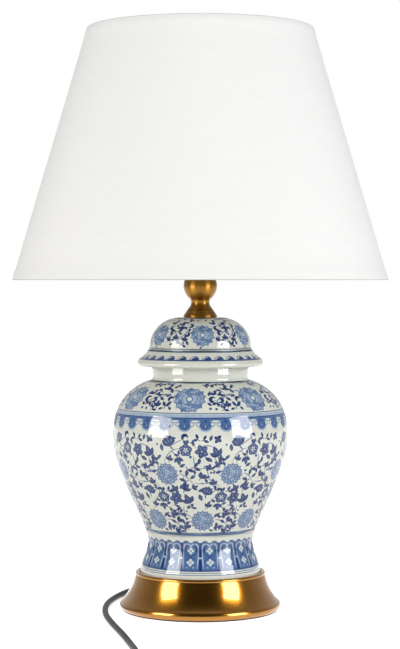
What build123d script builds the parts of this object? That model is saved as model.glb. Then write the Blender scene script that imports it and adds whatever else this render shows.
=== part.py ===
from build123d import *
from math import atan2, cos, degrees, hypot, pi, radians, sin, tan
import os

os.makedirs("parts", exist_ok=True)

# A ginger jar table lamp, in millimetres. +Z is up, +Y is the back of the lamp, and the origin
# lies on the table under the middle of the base. The ceramic jar and its lid stand on a spun
# brass pedestal and are clamped between it and the brass neck by one threaded tube. The tube
# carries the lampholder, and two ring nuts on the lampholder hold the shade's fitter.

# ---- Clearances
slip_gap = 0.1
move_gap = 0.3
loose_gap = 0.4

# ---- Felt pad and bottom cover
felt_thick = 1.5
bottom_cover_thick = 1.6

# ---- Pedestal
pedestal_foot_radius = 81.6
felt_inset = 1.1
pedestal_bead = 1.5
pedestal_bead_height = 7.7
pedestal_bead_set = 0.3
pedestal_lip_width = 4.2
pedestal_height = 38.5
pedestal_lip_round = 3.0
pedestal_recess = 4.0
pedestal_wall = 1.6
pedestal_flange = 5.6
pedestal_flare_out = 9.7
pedestal_flare_up = 10.0
pedestal_flare_in = 3.3
pedestal_flare_down = 7.3

# ---- Weight and fixings under the pedestal's deck
weight_side_gap = 3.4
weight_thick = 8.4
washer_radius = 13.0
washer_thick = 1.5
lock_washer_radius = 9.0
lock_washer_thick = 0.8
lock_washer_split = 1.2
tube_nut_across = 17.0
tube_nut_thick = 4.5

# ---- Threaded tube
tube_radius = 5.0
tube_bore = 4.0
tube_tail = 1.2
tube_top_reach = 10.0

# ---- Jar
jar_foot_radius = 62.0
jar_foot_width = 6.0
jar_foot_height = 6.0
jar_foot_round = 1.2
jar_floor = 6.0
jar_waist_radius = 53.8
jar_waist_height = 32.0
jar_belly_radius = 90.8
jar_belly_height = 145.0
jar_shoulder_height = 200.5
jar_neck_radius = 50.4
jar_neck_height = 16.5
jar_wall = 5.0
jar_lip_round = 1.0
jar_foot_pull = 5.7
jar_waist_pull = 21.8
jar_belly_pull = 42.9
jar_belly_rise = 37.1
jar_shoulder_pull = 14.9
jar_shoulder_fall = 3.8
jar_hole_gap = 0.6
foot_gasket_thick = 1.0
foot_gasket_inset = 0.5
lid_gasket_thick = 1.0

# ---- Lid
lid_rim_radius = 65.2
lid_roll = 3.2
lid_edge_inset = 1.07
lid_rim_drop = 3.8
lid_flange_thick = 2.4
lid_flange_rise = 3.3
lid_neck_radius = 51.8
lid_neck_height = 18.9
lid_height = 46.5
lid_crown_radius = 20.0
lid_wall = 4.5
lid_register_depth = 15.0
lid_register_wall = 4.3
lid_register_gap = 0.6
lid_flange_pull = 4.3
lid_neck_pull = 6.5
lid_dome_rise = 10.4
lid_dome_pull = 21.7

# ---- Turned brass neck
collar_radius = 17.4
collar_edge = 2.6
collar_height = 8.1
collar_top_radius = 13.1
collar_bulge = 0.1
collar_cove = 1.5
spool_waist_height = 6.8
spool_waist_radius = 9.5
spool_top_radius = 10.2
spool_height = 10.4
ball_radius = 17.3
ball_seat = 14.0
ball_height = 26.0

# ---- Lampholder, thread size E27
holder_radius = 19.5
holder_wall = 2.0
holder_cap_height = 22.0
holder_cap_neck_radius = 8.0
holder_cap_socket = 7.0
holder_skirt_height = 36.0
holder_bore = 14.0
insulator_thick = 10.0
insulator_under = 6.0
centre_contact_width = 7.0
centre_contact_thick = 0.6
terminal_offset = 10.5
terminal_screw_radius = 1.6
terminal_head_radius = 3.0
terminal_head_thick = 2.0
terminal_screw_depth = 6.0

# ---- Ring nuts and the shade
ring_nut_radius = 26.0
ring_nut_height = 6.0
ring_nut_grips = 16
ring_nut_grip_radius = 1.4
ring_nut_low = 4.0
fitter_radius = 30.0
fitter_thick = 2.0
shade_drop = 39.3
shade_height = 260.0
shade_bottom_radius = 194.0
shade_top_radius = 117.3
shade_wall = 0.8
shade_hem_depth = 5.4
shade_hem_height = 9.0
shade_wire = 1.5
shade_arm_count = 3
shade_arm_notch = 4.4

# ---- LED bulb
bulb_cap_radius = 13.2
bulb_cap_length = 22.0
bulb_cap_wall = 0.5
bulb_thread_depth = 0.8
bulb_thread_rib = 1.1
bulb_thread_pitch = 3.62
bulb_thread_margin = 2.6
bulb_cone_inset = 1.5
bulb_collar = 0.6
bulb_edge = 6.0
bulb_button_radius = 4.0
bulb_button_height = 1.2
bulb_cone_height = 4.0
bulb_housing_length = 42.0
bulb_housing_radius = 28.0
bulb_diffuser_radius = 30.0
bulb_diffuser_height = 41.5
bulb_shell_wall = 1.5
bulb_dome_side = 0.6
bulb_dome_crown = 0.55

# ---- Cord, its gland and the lead inside the lamp
cord_radius = 3.0
cord_floor = 3.1
cord_arc_share = 0.45
cord_run_out = 25.0
cord_run_in = 37.0
core_radius = 0.9
gland_height = 9.0
gland_shank_radius = 4.3
gland_collar_radius = 6.2
gland_collar_thick = 2.0
gland_boot_length = 16.0
gland_boot_radius = 5.2
gland_tip_radius = 3.7
gland_nut_radius = 5.6
gland_nut_thick = 4.0
gland_shank_inside = 13.0
lead_bend = 9.5
lead_stop = 1.0
core_spread = 1.2

# ---- Switch in the cord
switch_length = 58.0
switch_width = 24.0
switch_height = 17.0
switch_split = 8.0
switch_wall = 1.8
switch_round = 3.0
rocker_length = 22.0
rocker_width = 11.0
rocker_rise = 6.6
rocker_dip = 4.6
rocker_belly = 3.5
rocker_taper = 1.5
rocker_side_drop = 1.0
rocker_tilt = 9.0
rocker_pivot_drop = 5.0
axle_radius = 1.2
axle_play = 0.05
axle_seat = 1.0
switch_screw_radius = 1.5
switch_screw_head = 2.7
switch_screw_inset = 6.0
switch_screw_cap = 2.0
strip_length = 9.0
strip_width = 5.0
strip_thick = 1.0
strip_post = 4.4
strip_offset = 11.6

# ---- Plug, two round pins with insulated roots
plug_length = 36.0
plug_width = 35.3
plug_thick = 13.7
plug_nose_length = 14.0
plug_nose_radius = 5.2
plug_tip_radius = 3.7
plug_waist_width = 15.0
plug_shoulder = 14.0
plug_round = 2.0
pin_spacing = 18.6
pin_radius = 2.0
pin_core_radius = 1.4
pin_sleeve_radius = 1.8
pin_length = 19.0
pin_sleeve_length = 10.0
pin_chamfer = 1.0
pin_root = 8.0

# ---- Coil of spare cord and its tie
coil_centre = (23.0, -375.0)
coil_outer = 45.5
coil_step = 3.9
coil_half_turns_in = 5
coil_layer_low = 4.4
coil_layer_rise = 6.6
coil_end = 6.0
tie_thick = 1.0
tie_width = 7.0

# ---- Places of what lies on the table
switch_inlet = (-48.5, -317.0)
switch_heading = -80.0
plug_entry = (105.0, -397.0)
plug_entry_height = 6.9
plug_heading = 30.58

# ---- Heights, stacked from the table up
pedestal_z = felt_thick
pedestal_top = pedestal_z + pedestal_height
deck_top = pedestal_top - pedestal_recess
deck_under = deck_top - pedestal_wall
recess_radius = jar_foot_radius + 2 * loose_gap
pedestal_top_radius = recess_radius + pedestal_lip_width
weight_radius = pedestal_top_radius - pedestal_wall - weight_side_gap
felt_radius = pedestal_foot_radius - felt_inset
weight_z = deck_under - weight_thick
washer_z = weight_z - washer_thick
lock_washer_z = washer_z - lock_washer_thick
tube_nut_z = lock_washer_z - tube_nut_thick
tube_z = tube_nut_z - tube_tail
jar_z = deck_top + foot_gasket_thick
jar_floor_under = jar_z + jar_foot_height
jar_floor_top = jar_floor_under + jar_floor
jar_top = jar_z + jar_shoulder_height + jar_neck_height
jar_mouth_radius = jar_neck_radius - jar_wall
lid_z = jar_top + lid_gasket_thick
lid_top = lid_z + lid_height
collar_top = lid_top + collar_height
spool_top = collar_top + spool_height
ball_centre = spool_top + ball_seat
ball_top = spool_top + ball_height
holder_cap_top = ball_top + holder_cap_height
holder_top = holder_cap_top + holder_skirt_height
insulator_z = holder_cap_top - insulator_under
insulator_top = insulator_z + insulator_thick
tube_top = ball_top + tube_top_reach
thread_hole = tube_radius + slip_gap
wide_hole = tube_radius + jar_hole_gap
lower_nut_z = holder_cap_top + ring_nut_low
fitter_z = lower_nut_z + ring_nut_height + move_gap
upper_nut_z = fitter_z + fitter_thick + move_gap
fitter_mid = fitter_z + fitter_thick / 2
shade_z = fitter_mid - shade_drop
shade_top = shade_z + shade_height
shade_slope = (shade_bottom_radius - shade_top_radius) / shade_height
shade_skin = shade_wall * hypot(1, shade_slope)
bulb_button_z = insulator_top + 4 * centre_contact_thick + 2 * move_gap
bulb_cap_z = bulb_button_z + bulb_button_height + move_gap + bulb_cone_height
bulb_housing_z = bulb_cap_z + bulb_cap_length
bulb_diffuser_z = bulb_housing_z + bulb_housing_length
gland_seat = pedestal_foot_radius + pedestal_bead + slip_gap
gland_tip = gland_seat + gland_collar_thick + gland_boot_length

standing = (Align.CENTER, Align.CENTER, Align.MIN)
hanging = (Align.CENTER, Align.CENTER, Align.MAX)
nodes = {}


def turned(*edges):
    """Solid of revolution from a closed outline of radius, height edges."""
    return revolve(Plane.XZ * make_face(Curve() + list(edges)), Axis.Z)


def ring(inner, outer, low, high):
    """Flat ring between two radii and two heights."""
    return turned(Polyline((inner, low), (outer, low), (outer, high), (inner, high), (inner, low)))


def inset(curve, wall, steps):
    """Points one wall inside an outline that runs upwards, at the given shares of it."""
    points = []
    for step in steps:
        along = curve % step
        points.append(curve @ step + wall * Vector(-along.Y, along.X))
    return points


def around(count, start=0.0):
    """Turns about Z for a pattern of evenly spaced copies."""
    return [Rot(0, 0, start + 360 * n / count) for n in range(count)]


# ---------------------------------------------------------------- Base


def felt_pad():
    """Felt disc glued under the base."""
    return ring(0, felt_radius, 0, felt_thick)


def bottom_cover():
    """Steel disc that closes the pedestal, inside its turned-in foot."""
    radius = pedestal_foot_radius - pedestal_flange - move_gap
    return ring(0, radius, felt_thick, felt_thick + bottom_cover_thick)


def pedestal():
    """Spun brass pedestal with a bead at its foot and a recess for the jar."""
    foot_in = pedestal_foot_radius - pedestal_flange
    bead_top = (pedestal_foot_radius - pedestal_bead_set, pedestal_z + pedestal_bead_height)
    bead_mid = (pedestal_foot_radius + pedestal_bead, pedestal_z + pedestal_bead_height / 2)
    lip_low = (pedestal_top_radius, pedestal_top - pedestal_lip_round)
    lip_mid = ((pedestal_top_radius + recess_radius) / 2, pedestal_top)
    lip_in = (recess_radius, pedestal_top - pedestal_lip_round / 2)
    flare = Bezier(
        bead_top,
        (bead_top[0] - pedestal_flare_out, bead_top[1] + pedestal_flare_up),
        (lip_low[0] + pedestal_flare_in, lip_low[1] - pedestal_flare_down),
        lip_low,
    )
    under = inset(flare, pedestal_wall, (0, 0.15, 0.3, 0.5, 0.7))
    deck_edge = (pedestal_top_radius - pedestal_wall, deck_under)
    floor_in = pedestal_foot_radius - pedestal_wall
    shell = turned(
        Line((foot_in, pedestal_z), (pedestal_foot_radius, pedestal_z)),
        ThreePointArc((pedestal_foot_radius, pedestal_z), bead_mid, bead_top),
        flare,
        ThreePointArc(lip_low, lip_mid, lip_in),
        Polyline(lip_in, (recess_radius, deck_top), (thread_hole, deck_top)),
        Polyline((thread_hole, deck_top), (thread_hole, deck_under), deck_edge),
        Spline(*under, deck_edge),
        Polyline(
            under[0],
            (floor_in, pedestal_z + pedestal_wall),
            (foot_in, pedestal_z + pedestal_wall),
            (foot_in, pedestal_z),
        ),
    )
    hole = Cylinder(gland_shank_radius + slip_gap, 2 * pedestal_foot_radius, align=standing)
    return shell - Pos(0, 0, gland_height) * Rot(-90, 0, 0) * hole


def base_weight():
    """Cast iron disc that keeps the lamp from tipping."""
    return ring(tube_radius + jar_hole_gap, weight_radius, weight_z, deck_under)


def tube_washer():
    """Plain steel washer under the weight."""
    return ring(thread_hole, washer_radius, washer_z, weight_z)


def tube_lock_washer():
    """Split spring washer."""
    whole = ring(thread_hole, lock_washer_radius, lock_washer_z, washer_z)
    split = Box(2 * lock_washer_radius, lock_washer_split, washer_z)
    return whole - Pos(lock_washer_radius, 0, washer_z) * split


def tube_nut():
    """Hexagon nut on the foot of the tube."""
    hexagon = RegularPolygon(tube_nut_across / 2, 6, major_radius=False) - Circle(thread_hole)
    return Pos(0, 0, tube_nut_z) * extrude(hexagon, tube_nut_thick)


def tube():
    """Threaded steel tube that clamps the whole stack and carries the lead."""
    return ring(tube_bore, tube_radius, tube_z, tube_top)


# ---------------------------------------------------------------- Jar and lid


def foot_gasket():
    """Rubber ring between the jar's foot and the pedestal's deck."""
    inner = jar_foot_radius - jar_foot_width + foot_gasket_inset
    return ring(inner, jar_foot_radius - foot_gasket_inset - jar_foot_round, deck_top, jar_z)


def jar_outline():
    """The jar's outer curves: foot to waist, waist to belly, belly to neck."""
    foot = (jar_foot_radius, jar_z + jar_foot_height)
    waist = (jar_waist_radius, jar_z + jar_waist_height)
    belly = (jar_belly_radius, jar_z + jar_belly_height)
    shoulder = (jar_neck_radius, jar_z + jar_shoulder_height)
    flare = Bezier(foot, (foot[0], foot[1] + jar_foot_pull), (waist[0], waist[1] - jar_foot_pull), waist)
    body = Bezier(waist, (waist[0], waist[1] + jar_waist_pull), (belly[0], belly[1] - jar_belly_pull), belly)
    crown = Bezier(
        belly,
        (belly[0], belly[1] + jar_belly_rise),
        (shoulder[0] + jar_shoulder_pull, shoulder[1] - jar_shoulder_fall),
        shoulder,
    )
    return flare, body, crown


def jar():
    """Glazed ceramic jar: foot ring, waist, full belly, round shoulder and short neck."""
    flare, body, crown = jar_outline()
    foot_in = jar_foot_radius - jar_foot_width
    shoulder = (jar_neck_radius, jar_z + jar_shoulder_height)
    walls = [(jar_waist_radius - jar_wall / 2, jar_floor_top)]
    walls += inset(flare, jar_wall, (0.75, 1))
    walls += inset(body, jar_wall, (0.15, 0.35, 0.55, 0.75, 1))
    walls += inset(crown, jar_wall, (0.3, 0.5, 0.7, 0.85, 1))
    inner_neck = (jar_mouth_radius, walls[-1].Y + jar_wall / 2)
    lip = jar_top - jar_lip_round
    return turned(
        Polyline(
            (wide_hole, jar_floor_under),
            (foot_in, jar_floor_under),
            (foot_in, jar_z),
            (jar_foot_radius - jar_foot_round, jar_z),
            (jar_foot_radius, jar_z + jar_foot_round),
            (jar_foot_radius, jar_floor_under),
        ),
        flare,
        body,
        crown,
        Polyline(
            shoulder,
            (jar_neck_radius, lip),
            (jar_neck_radius - jar_lip_round, jar_top),
            (jar_mouth_radius + jar_lip_round, jar_top),
            (jar_mouth_radius, lip),
            inner_neck,
            walls[-1],
        ),
        Spline(*walls),
        Polyline(walls[0], (wide_hole, jar_floor_top), (wide_hole, jar_floor_under)),
    )


def lid_gasket():
    """Cork ring on the jar's mouth."""
    return ring(jar_mouth_radius + jar_lip_round, jar_neck_radius - jar_lip_round, jar_top, lid_z)


def lid_outline():
    """The lid's outer curves: flange to neck, neck to crown."""
    edge = (lid_rim_radius - lid_edge_inset, lid_z + lid_flange_rise)
    neck = (lid_neck_radius, lid_z + lid_neck_height)
    crown = (lid_crown_radius, lid_top)
    flange = Bezier(
        edge,
        (edge[0] - lid_flange_pull, edge[1] + lid_flange_pull / 2),
        (neck[0], neck[1] - lid_neck_pull),
        neck,
    )
    dome = Bezier(neck, (neck[0], neck[1] + lid_dome_rise), (crown[0] + lid_dome_pull, crown[1]), crown)
    return flange, dome


def lid():
    """Glazed ceramic lid: rolled rim, flange, dome, and a register inside the jar's mouth."""
    flange, dome = lid_outline()
    edge = flange @ 0
    roll_low = (lid_rim_radius - lid_roll, lid_z - lid_rim_drop)
    roll_mid = (lid_rim_radius, lid_z)
    under = lid_z - lid_flange_thick
    seat = jar_neck_radius + 2 * lid_register_gap
    register = jar_mouth_radius - lid_register_gap
    register_in = register - lid_register_wall
    walls = inset(flange, lid_wall, (1,)) + inset(dome, lid_wall, (0.25, 0.5, 0.75, 1))
    return turned(
        ThreePointArc(roll_low, roll_mid, edge),
        flange,
        dome,
        Polyline(dome @ 1, (wide_hole, lid_top), (wide_hole, walls[-1].Y), walls[-1]),
        Spline(*walls),
        Polyline(
            walls[0],
            (register_in, lid_z + lid_flange_rise),
            (register_in, lid_z - lid_register_depth),
            (register, lid_z - lid_register_depth),
            (register, lid_z),
            (seat, lid_z),
            (seat, under),
            (roll_low[0] - lid_roll, under),
            roll_low,
        ),
    )


# ---------------------------------------------------------------- Brass neck


def neck_collar():
    """Turned brass collar on the lid."""
    edge = lid_top + collar_edge
    return turned(
        Polyline((thread_hole, collar_top), (thread_hole, lid_top), (collar_radius, lid_top)),
        ThreePointArc(
            (collar_radius, lid_top),
            (collar_radius + collar_bulge, lid_top + collar_edge / 2),
            (collar_radius - collar_bulge, edge),
        ),
        Bezier(
            (collar_radius - collar_bulge, edge),
            (collar_top_radius + collar_cove, edge + collar_cove),
            (collar_top_radius, collar_top),
        ),
        Line((collar_top_radius, collar_top), (thread_hole, collar_top)),
    )


def neck_spool():
    """Turned brass spool with a waist, between the collar and the ball."""
    waist = collar_top + spool_waist_height
    return turned(
        Polyline((thread_hole, spool_top), (thread_hole, collar_top), (collar_top_radius, collar_top)),
        ThreePointArc(
            (collar_top_radius, collar_top), (spool_waist_radius, waist), (spool_top_radius, spool_top)
        ),
        Line((spool_top_radius, spool_top), (thread_hole, spool_top)),
    )


def neck_ball():
    """Brass ball, cut flat where it sits and where the lampholder stands on it."""
    ball = Pos(0, 0, ball_centre) * Sphere(ball_radius)
    return ball & ring(thread_hole, 2 * ball_radius, spool_top, ball_top)


# ---------------------------------------------------------------- Lampholder


def holder_cap():
    """Domed cap of the lampholder, threaded on the tube."""
    dome = Bezier(
        (holder_cap_neck_radius, ball_top),
        (holder_radius, ball_top),
        (holder_radius, ball_top + holder_cap_height / 2),
        (holder_radius, holder_cap_top),
    )
    walls = inset(dome, holder_wall, (0.45, 0.6, 0.8, 1))
    socket = ball_top + holder_cap_socket
    return turned(
        Line((thread_hole, ball_top), (holder_cap_neck_radius, ball_top)),
        dome,
        Line(dome @ 1, walls[-1]),
        Spline(*walls),
        Polyline(walls[0], (thread_hole, socket), (thread_hole, ball_top)),
    )


def holder_insulator():
    """Ceramic disc that carries the terminals and contacts."""
    radius = holder_radius - holder_wall - slip_gap
    disc = ring(0, radius, insulator_z, insulator_top)
    for side in (-1, 1):
        disc -= Pos(side * terminal_offset, 0, insulator_z) * Cylinder(
            terminal_screw_radius + slip_gap, 2 * terminal_screw_depth + 2 * slip_gap
        )
    return disc


def holder_skirt():
    """Threaded outer skirt of the lampholder."""
    inner = holder_radius - holder_wall
    low = holder_cap_top + slip_gap
    shelf = insulator_top + slip_gap
    return turned(
        Polyline(
            (inner, low), (holder_radius, low), (holder_radius, holder_top), (holder_bore, holder_top),
            (holder_bore, shelf), (inner, shelf), (inner, low),
        )
    )


def holder_contacts():
    """Centre tongue and side spring that feed the bulb."""
    tongue = Pos(0, 0, insulator_top) * Box(
        2 * centre_contact_width, centre_contact_width, centre_contact_thick, align=standing
    )
    tongue += Pos(0, 0, insulator_top) * Cylinder(
        centre_contact_width / 3, 4 * centre_contact_thick, align=standing
    )
    height = bulb_cap_z - insulator_top
    spring = Pos(0, holder_bore - 2 * centre_contact_thick, insulator_top) * Box(
        centre_contact_width / 2, centre_contact_thick, height, align=standing
    )
    return Compound(children=[tongue, spring])


def terminal_screws():
    """Two screws that clamp the cores under the insulator."""
    screws = []
    for side in (-1, 1):
        shank = ring(0, terminal_screw_radius, insulator_z, insulator_z + terminal_screw_depth)
        head = ring(0, terminal_head_radius, insulator_z - terminal_head_thick, insulator_z)
        screws.append(Pos(side * terminal_offset, 0, 0) * (shank + head))
    return Compound(children=screws)


def ring_nut(low):
    """Knurled ring nut on the lampholder's thread."""
    nut = ring(holder_radius + slip_gap, ring_nut_radius, low, low + ring_nut_height)
    groove = Pos(ring_nut_radius + ring_nut_grip_radius / 2, 0, low + ring_nut_height / 2) * Cylinder(
        ring_nut_grip_radius, 2 * ring_nut_height
    )
    return nut - [turn * groove for turn in around(ring_nut_grips)]


# ---------------------------------------------------------------- Shade


def shade_radius(height):
    """Outer radius of the shade at a height above the table."""
    return shade_bottom_radius - shade_slope * (height - shade_z)


def hoop_radius(height):
    """Radius of a hoop's wire that lies in the hem at a height."""
    return shade_radius(height) - shade_hem_depth / 2


def shade_cover():
    """Cone of lined fabric whose two edges are turned in round the hoops."""
    low_inner = shade_z + shade_wall
    top_inner = shade_top - shade_wall
    low_hem = shade_z + shade_hem_height
    top_hem = shade_top - shade_hem_height
    lap = shade_hem_depth - shade_skin
    outline = [
        (shade_radius(shade_z), shade_z),
        (shade_radius(shade_top), shade_top),
        (shade_radius(shade_top) - shade_hem_depth, shade_top),
        (shade_radius(top_hem) - shade_hem_depth, top_hem),
        (shade_radius(top_hem) - lap, top_hem),
        (shade_radius(top_inner) - lap, top_inner),
        (shade_radius(top_inner) - shade_skin, top_inner),
        (shade_radius(low_inner) - shade_skin, low_inner),
        (shade_radius(low_inner) - lap, low_inner),
        (shade_radius(low_hem) - lap, low_hem),
        (shade_radius(low_hem) - shade_hem_depth, low_hem),
        (shade_radius(shade_z) - shade_hem_depth, shade_z),
    ]
    cover = turned(Polyline(*outline, outline[0]))
    # The notch frees the turned-in edge of the hem over its whole lean, and leaves the outer wall.
    fold = shade_radius(low_inner) - shade_hem_depth
    notch_in = fold - shade_slope * shade_hem_height - slip_gap
    notch_out = fold + shade_skin + slip_gap
    notch = Pos((notch_in + notch_out) / 2, 0, low_inner) * Box(
        notch_out - notch_in, shade_arm_notch, shade_hem_height, align=standing
    )
    return cover - [turn * notch for turn in around(shade_arm_count, 90)]


def hoop(height):
    """Round wire hoop at a height."""
    return Pos(0, 0, height) * Torus(hoop_radius(height), shade_wire)


def shade_frame():
    """Fitter ring, three arms and the bottom hoop, welded together."""
    height = shade_z + shade_wall + shade_wire + move_gap
    fitter = ring(holder_radius + loose_gap, fitter_radius, fitter_z, fitter_z + fitter_thick)
    start = Vector(fitter_radius - shade_wire / 2, 0, fitter_mid)
    reach = Vector(hoop_radius(height), 0, height) - start
    # The arm ends inside the hoop's wire, a little short of its middle.
    length = reach.length - shade_wire / 2
    arm = Plane(start, z_dir=reach) * Cylinder(shade_wire, length, align=standing)
    frame = fitter + hoop(height)
    return frame + [turn * arm for turn in around(shade_arm_count, 90)]


def shade_top_hoop():
    """Plain wire hoop in the shade's top hem."""
    return hoop(shade_top - shade_wall - shade_wire - move_gap)


# ---------------------------------------------------------------- Bulb


def bulb_contact():
    """Solder button in the middle of the bulb's foot."""
    return ring(0, bulb_button_radius, bulb_button_z, bulb_button_z + bulb_button_height)


def bulb_insulator():
    """Cone of black glass between the button and the threaded cap."""
    low = bulb_button_z + bulb_button_height + move_gap
    low_radius = bulb_button_radius + bulb_cone_inset
    top_radius = bulb_cap_radius - bulb_cone_inset
    return turned(
        Polyline((0, low), (low_radius, low), (top_radius, bulb_cap_z), (0, bulb_cap_z), (0, low))
    )


def bulb_cap():
    """Rolled metal screw cap, open at both ends, with its thread as round ribs."""
    core = bulb_cap_radius - bulb_thread_depth
    cap = ring(core - bulb_cap_wall, core, bulb_cap_z, bulb_housing_z)
    count = int((bulb_cap_length - 2 * bulb_thread_margin) / bulb_thread_pitch) + 1
    for turn in range(count):
        height = bulb_cap_z + bulb_thread_margin + bulb_thread_pitch * turn
        cap += Pos(0, 0, height) * Torus(bulb_cap_radius - bulb_thread_rib, bulb_thread_rib)
    return cap - ring(0, core - bulb_cap_wall, bulb_button_z, bulb_diffuser_z)


def bulb_housing():
    """Cone that holds the driver, from the cap to the diffuser."""
    low = bulb_housing_z
    top = bulb_diffuser_z
    foot = bulb_cap_radius + bulb_collar
    bend_low = low + bulb_housing_length / 2
    bend_high = top - bulb_housing_length / 3
    outer = Bezier(
        (foot, low), (foot, bend_low), (bulb_housing_radius, bend_high), (bulb_housing_radius, top)
    )
    inner_top = bulb_housing_radius - bulb_shell_wall
    inner_foot = foot - bulb_shell_wall
    inner = Bezier((inner_top, top), (inner_top, bend_high), (inner_foot, bend_low), (inner_foot, low))
    return turned(outer, Line(outer @ 1, inner @ 0), inner, Line(inner @ 1, outer @ 0))


def bulb_diffuser():
    """Milky dome over the light source."""
    low = bulb_diffuser_z
    top = low + bulb_diffuser_height
    radius = bulb_diffuser_radius
    wall = bulb_shell_wall
    edge = low + bulb_edge
    side = edge + (top - edge) * bulb_dome_side
    crown = radius * bulb_dome_crown
    outer = Bezier((radius, edge), (radius, side), (crown, top), (0, top))
    inner = Bezier(
        (0, top - wall), (crown - wall, top - wall), (radius - wall, side - wall), (radius - wall, edge)
    )
    foot_in = bulb_housing_radius - wall
    return turned(
        Polyline((foot_in, low), (bulb_housing_radius, low), (radius, edge)),
        outer,
        Line((0, top), (0, top - wall)),
        inner,
        Line((radius - wall, edge), (foot_in, low)),
    )


# ---------------------------------------------------------------- Cord on the table


def rounded(points, radius=cord_radius):
    """Tube on straight runs and tangent arcs, each arc as large as its two runs allow."""
    spots = [Vector(*point) for point in points]
    runs = [b - a for a, b in zip(spots, spots[1:])]
    radii = []
    for before, after in zip(runs, runs[1:]):
        half_turn = radians(before.get_angle(after)) / 2
        radii.append(cord_arc_share * min(before.length, after.length) / tan(half_turn))
    path = FilletPolyline(*spots, radius=radii)
    tube_solid = sweep(Plane(path @ 0, z_dir=path % 0) * Circle(radius), path=path)
    share = tube_solid.volume / (path.length * pi * radius**2)
    print("runs", [round(run.length, 1) for run in runs])
    print("radii", [round(value, 1) for value in radii])
    print("length", round(path.length, 1), "volume over section times length", round(share, 4))
    return tube_solid


def heading(angle):
    """Unit step on the table at an angle from +X."""
    return Vector(cos(radians(angle)), sin(radians(angle)), 0)


switch_start = Vector(*switch_inlet, switch_split)
switch_end = switch_start + switch_length * heading(switch_heading)
plug_start = Vector(*plug_entry, plug_entry_height)
coil_start = Vector(coil_centre[0] - coil_end, coil_centre[1] - coil_outer, coil_layer_low)
coil_last = coil_outer - coil_step
coil_exit = Vector(coil_centre[0] + coil_end, coil_centre[1] - coil_last, coil_layer_low + coil_layer_rise)


def cord_run():
    """Cord from the gland, round behind the base and along the table to the switch."""
    return rounded(
        [
            (0, gland_tip, gland_height),
            (0, 126, gland_height),
            (-15.5, 143.5, 7),
            (-39, 147, 4.5),
            (-59, 133.5, cord_floor),
            (-73, 102, cord_floor),
            (-87, 66, cord_floor),
            (-98, 14, cord_floor),
            (-97, -46, cord_floor),
            (-86, -105, cord_floor),
            (-73, -162, cord_floor),
            (-62, -221, cord_floor),
            switch_start - cord_run_in * heading(switch_heading),
            switch_start,
        ]
    )


def cord_link():
    """Cord from the switch to the coil."""
    return rounded(
        [
            switch_end,
            switch_end + cord_run_out * heading(switch_heading),
            (-8.1, -420.5, coil_layer_low),
            coil_start,
        ]
    )


def coil_points():
    """Centres of the coil's half turns: in on the lower layer, then out on the upper one."""
    count = coil_half_turns_in
    radii = [coil_outer - coil_step * n for n in range(count + 1)]
    radii += radii[:0:-1]
    points = []
    for n, radius in enumerate(radii):
        lift = coil_layer_rise if n > count else 0
        angle = n * pi - pi / 2
        points.append(
            Vector(
                coil_centre[0] + radius * cos(angle),
                coil_centre[1] + radius * sin(angle),
                coil_layer_low + lift,
            )
        )
    return points


def coil_path():
    """One unbroken line of half-turn biarcs, straight for one diameter at each end."""
    points = coil_points()
    edges = [Line(coil_start, points[0])]
    for n, (start, end) in enumerate(zip(points, points[1:])):
        along = Vector(1 if n % 2 == 0 else -1, 0, 0)
        joint = (start + end) * 0.5 + along * ((end - start).length / 2)
        first = TangentArc(start, joint, tangent=along)
        edges += [first, TangentArc(joint, end, tangent=first % 1)]
    return edges + [Line(points[-1], coil_exit)]


def least_gap(edges, reach):
    """Least space between stretches of a tube that lie more than a reach apart along it."""
    spots = []
    travelled = 0
    for edge in edges:
        steps = max(2, int(edge.length / 2))
        spots += [(travelled + edge.length * n / steps, edge @ (n / steps)) for n in range(steps)]
        travelled += edge.length
    return min(
        (b - a).length for at, a in spots for bt, b in spots if bt - at > reach
    ) - 2 * cord_radius


def cord_coil():
    """Spare cord: a two-layer coil in one unbroken tube."""
    edges = coil_path()
    wire = Wire(edges)
    coil = sweep(Plane(wire @ 0, z_dir=wire % 0) * Circle(cord_radius), path=wire)
    share = coil.volume / (wire.length * pi * cord_radius**2)
    print("coil length", round(wire.length, 1), "volume over section times length", round(share, 4))
    print("coil least gap", round(least_gap(edges, 4 * 2 * cord_radius), 2))
    return coil


def cord_tail():
    """Cord from the coil to the plug."""
    return rounded(
        [
            coil_exit,
            (58, coil_exit.Y, coil_exit.Z),
            plug_start - cord_run_out * heading(plug_heading),
            plug_start,
        ]
    )


def coil_tie():
    """Strap round the coil on the side away from its ends."""
    gap = move_gap
    # At this place the turns have lost one step, or one step for each further half turn.
    inner = coil_outer - coil_half_turns_in * coil_step - cord_radius - gap
    outer = coil_last + cord_radius + gap
    low = coil_layer_low - cord_radius - gap
    high = coil_layer_low + coil_layer_rise + cord_radius + gap
    middle = (inner + outer) / 2
    hollow = Box(tie_width * 2, outer - inner, high - low)
    band = Box(tie_width, outer - inner + 2 * tie_thick, high - low + 2 * tie_thick)
    return Pos(coil_centre[0], coil_centre[1] + middle, (low + high) / 2) * (band - hollow)


def cord_gland():
    """Moulded gland at the back of the pedestal, with a tapered boot."""
    bore = cord_radius + slip_gap
    collar_out = gland_seat + gland_collar_thick
    inside = gland_seat - gland_shank_inside
    sleeve = turned(
        Polyline(
            (bore, inside),
            (gland_shank_radius, inside),
            (gland_shank_radius, gland_seat),
            (gland_collar_radius, gland_seat),
            (gland_collar_radius, collar_out),
            (gland_boot_radius, collar_out),
            (gland_tip_radius, gland_tip),
            (bore, gland_tip),
            (bore, inside),
        )
    )
    return Pos(0, 0, gland_height) * Rot(-90, 0, 0) * sleeve


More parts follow.
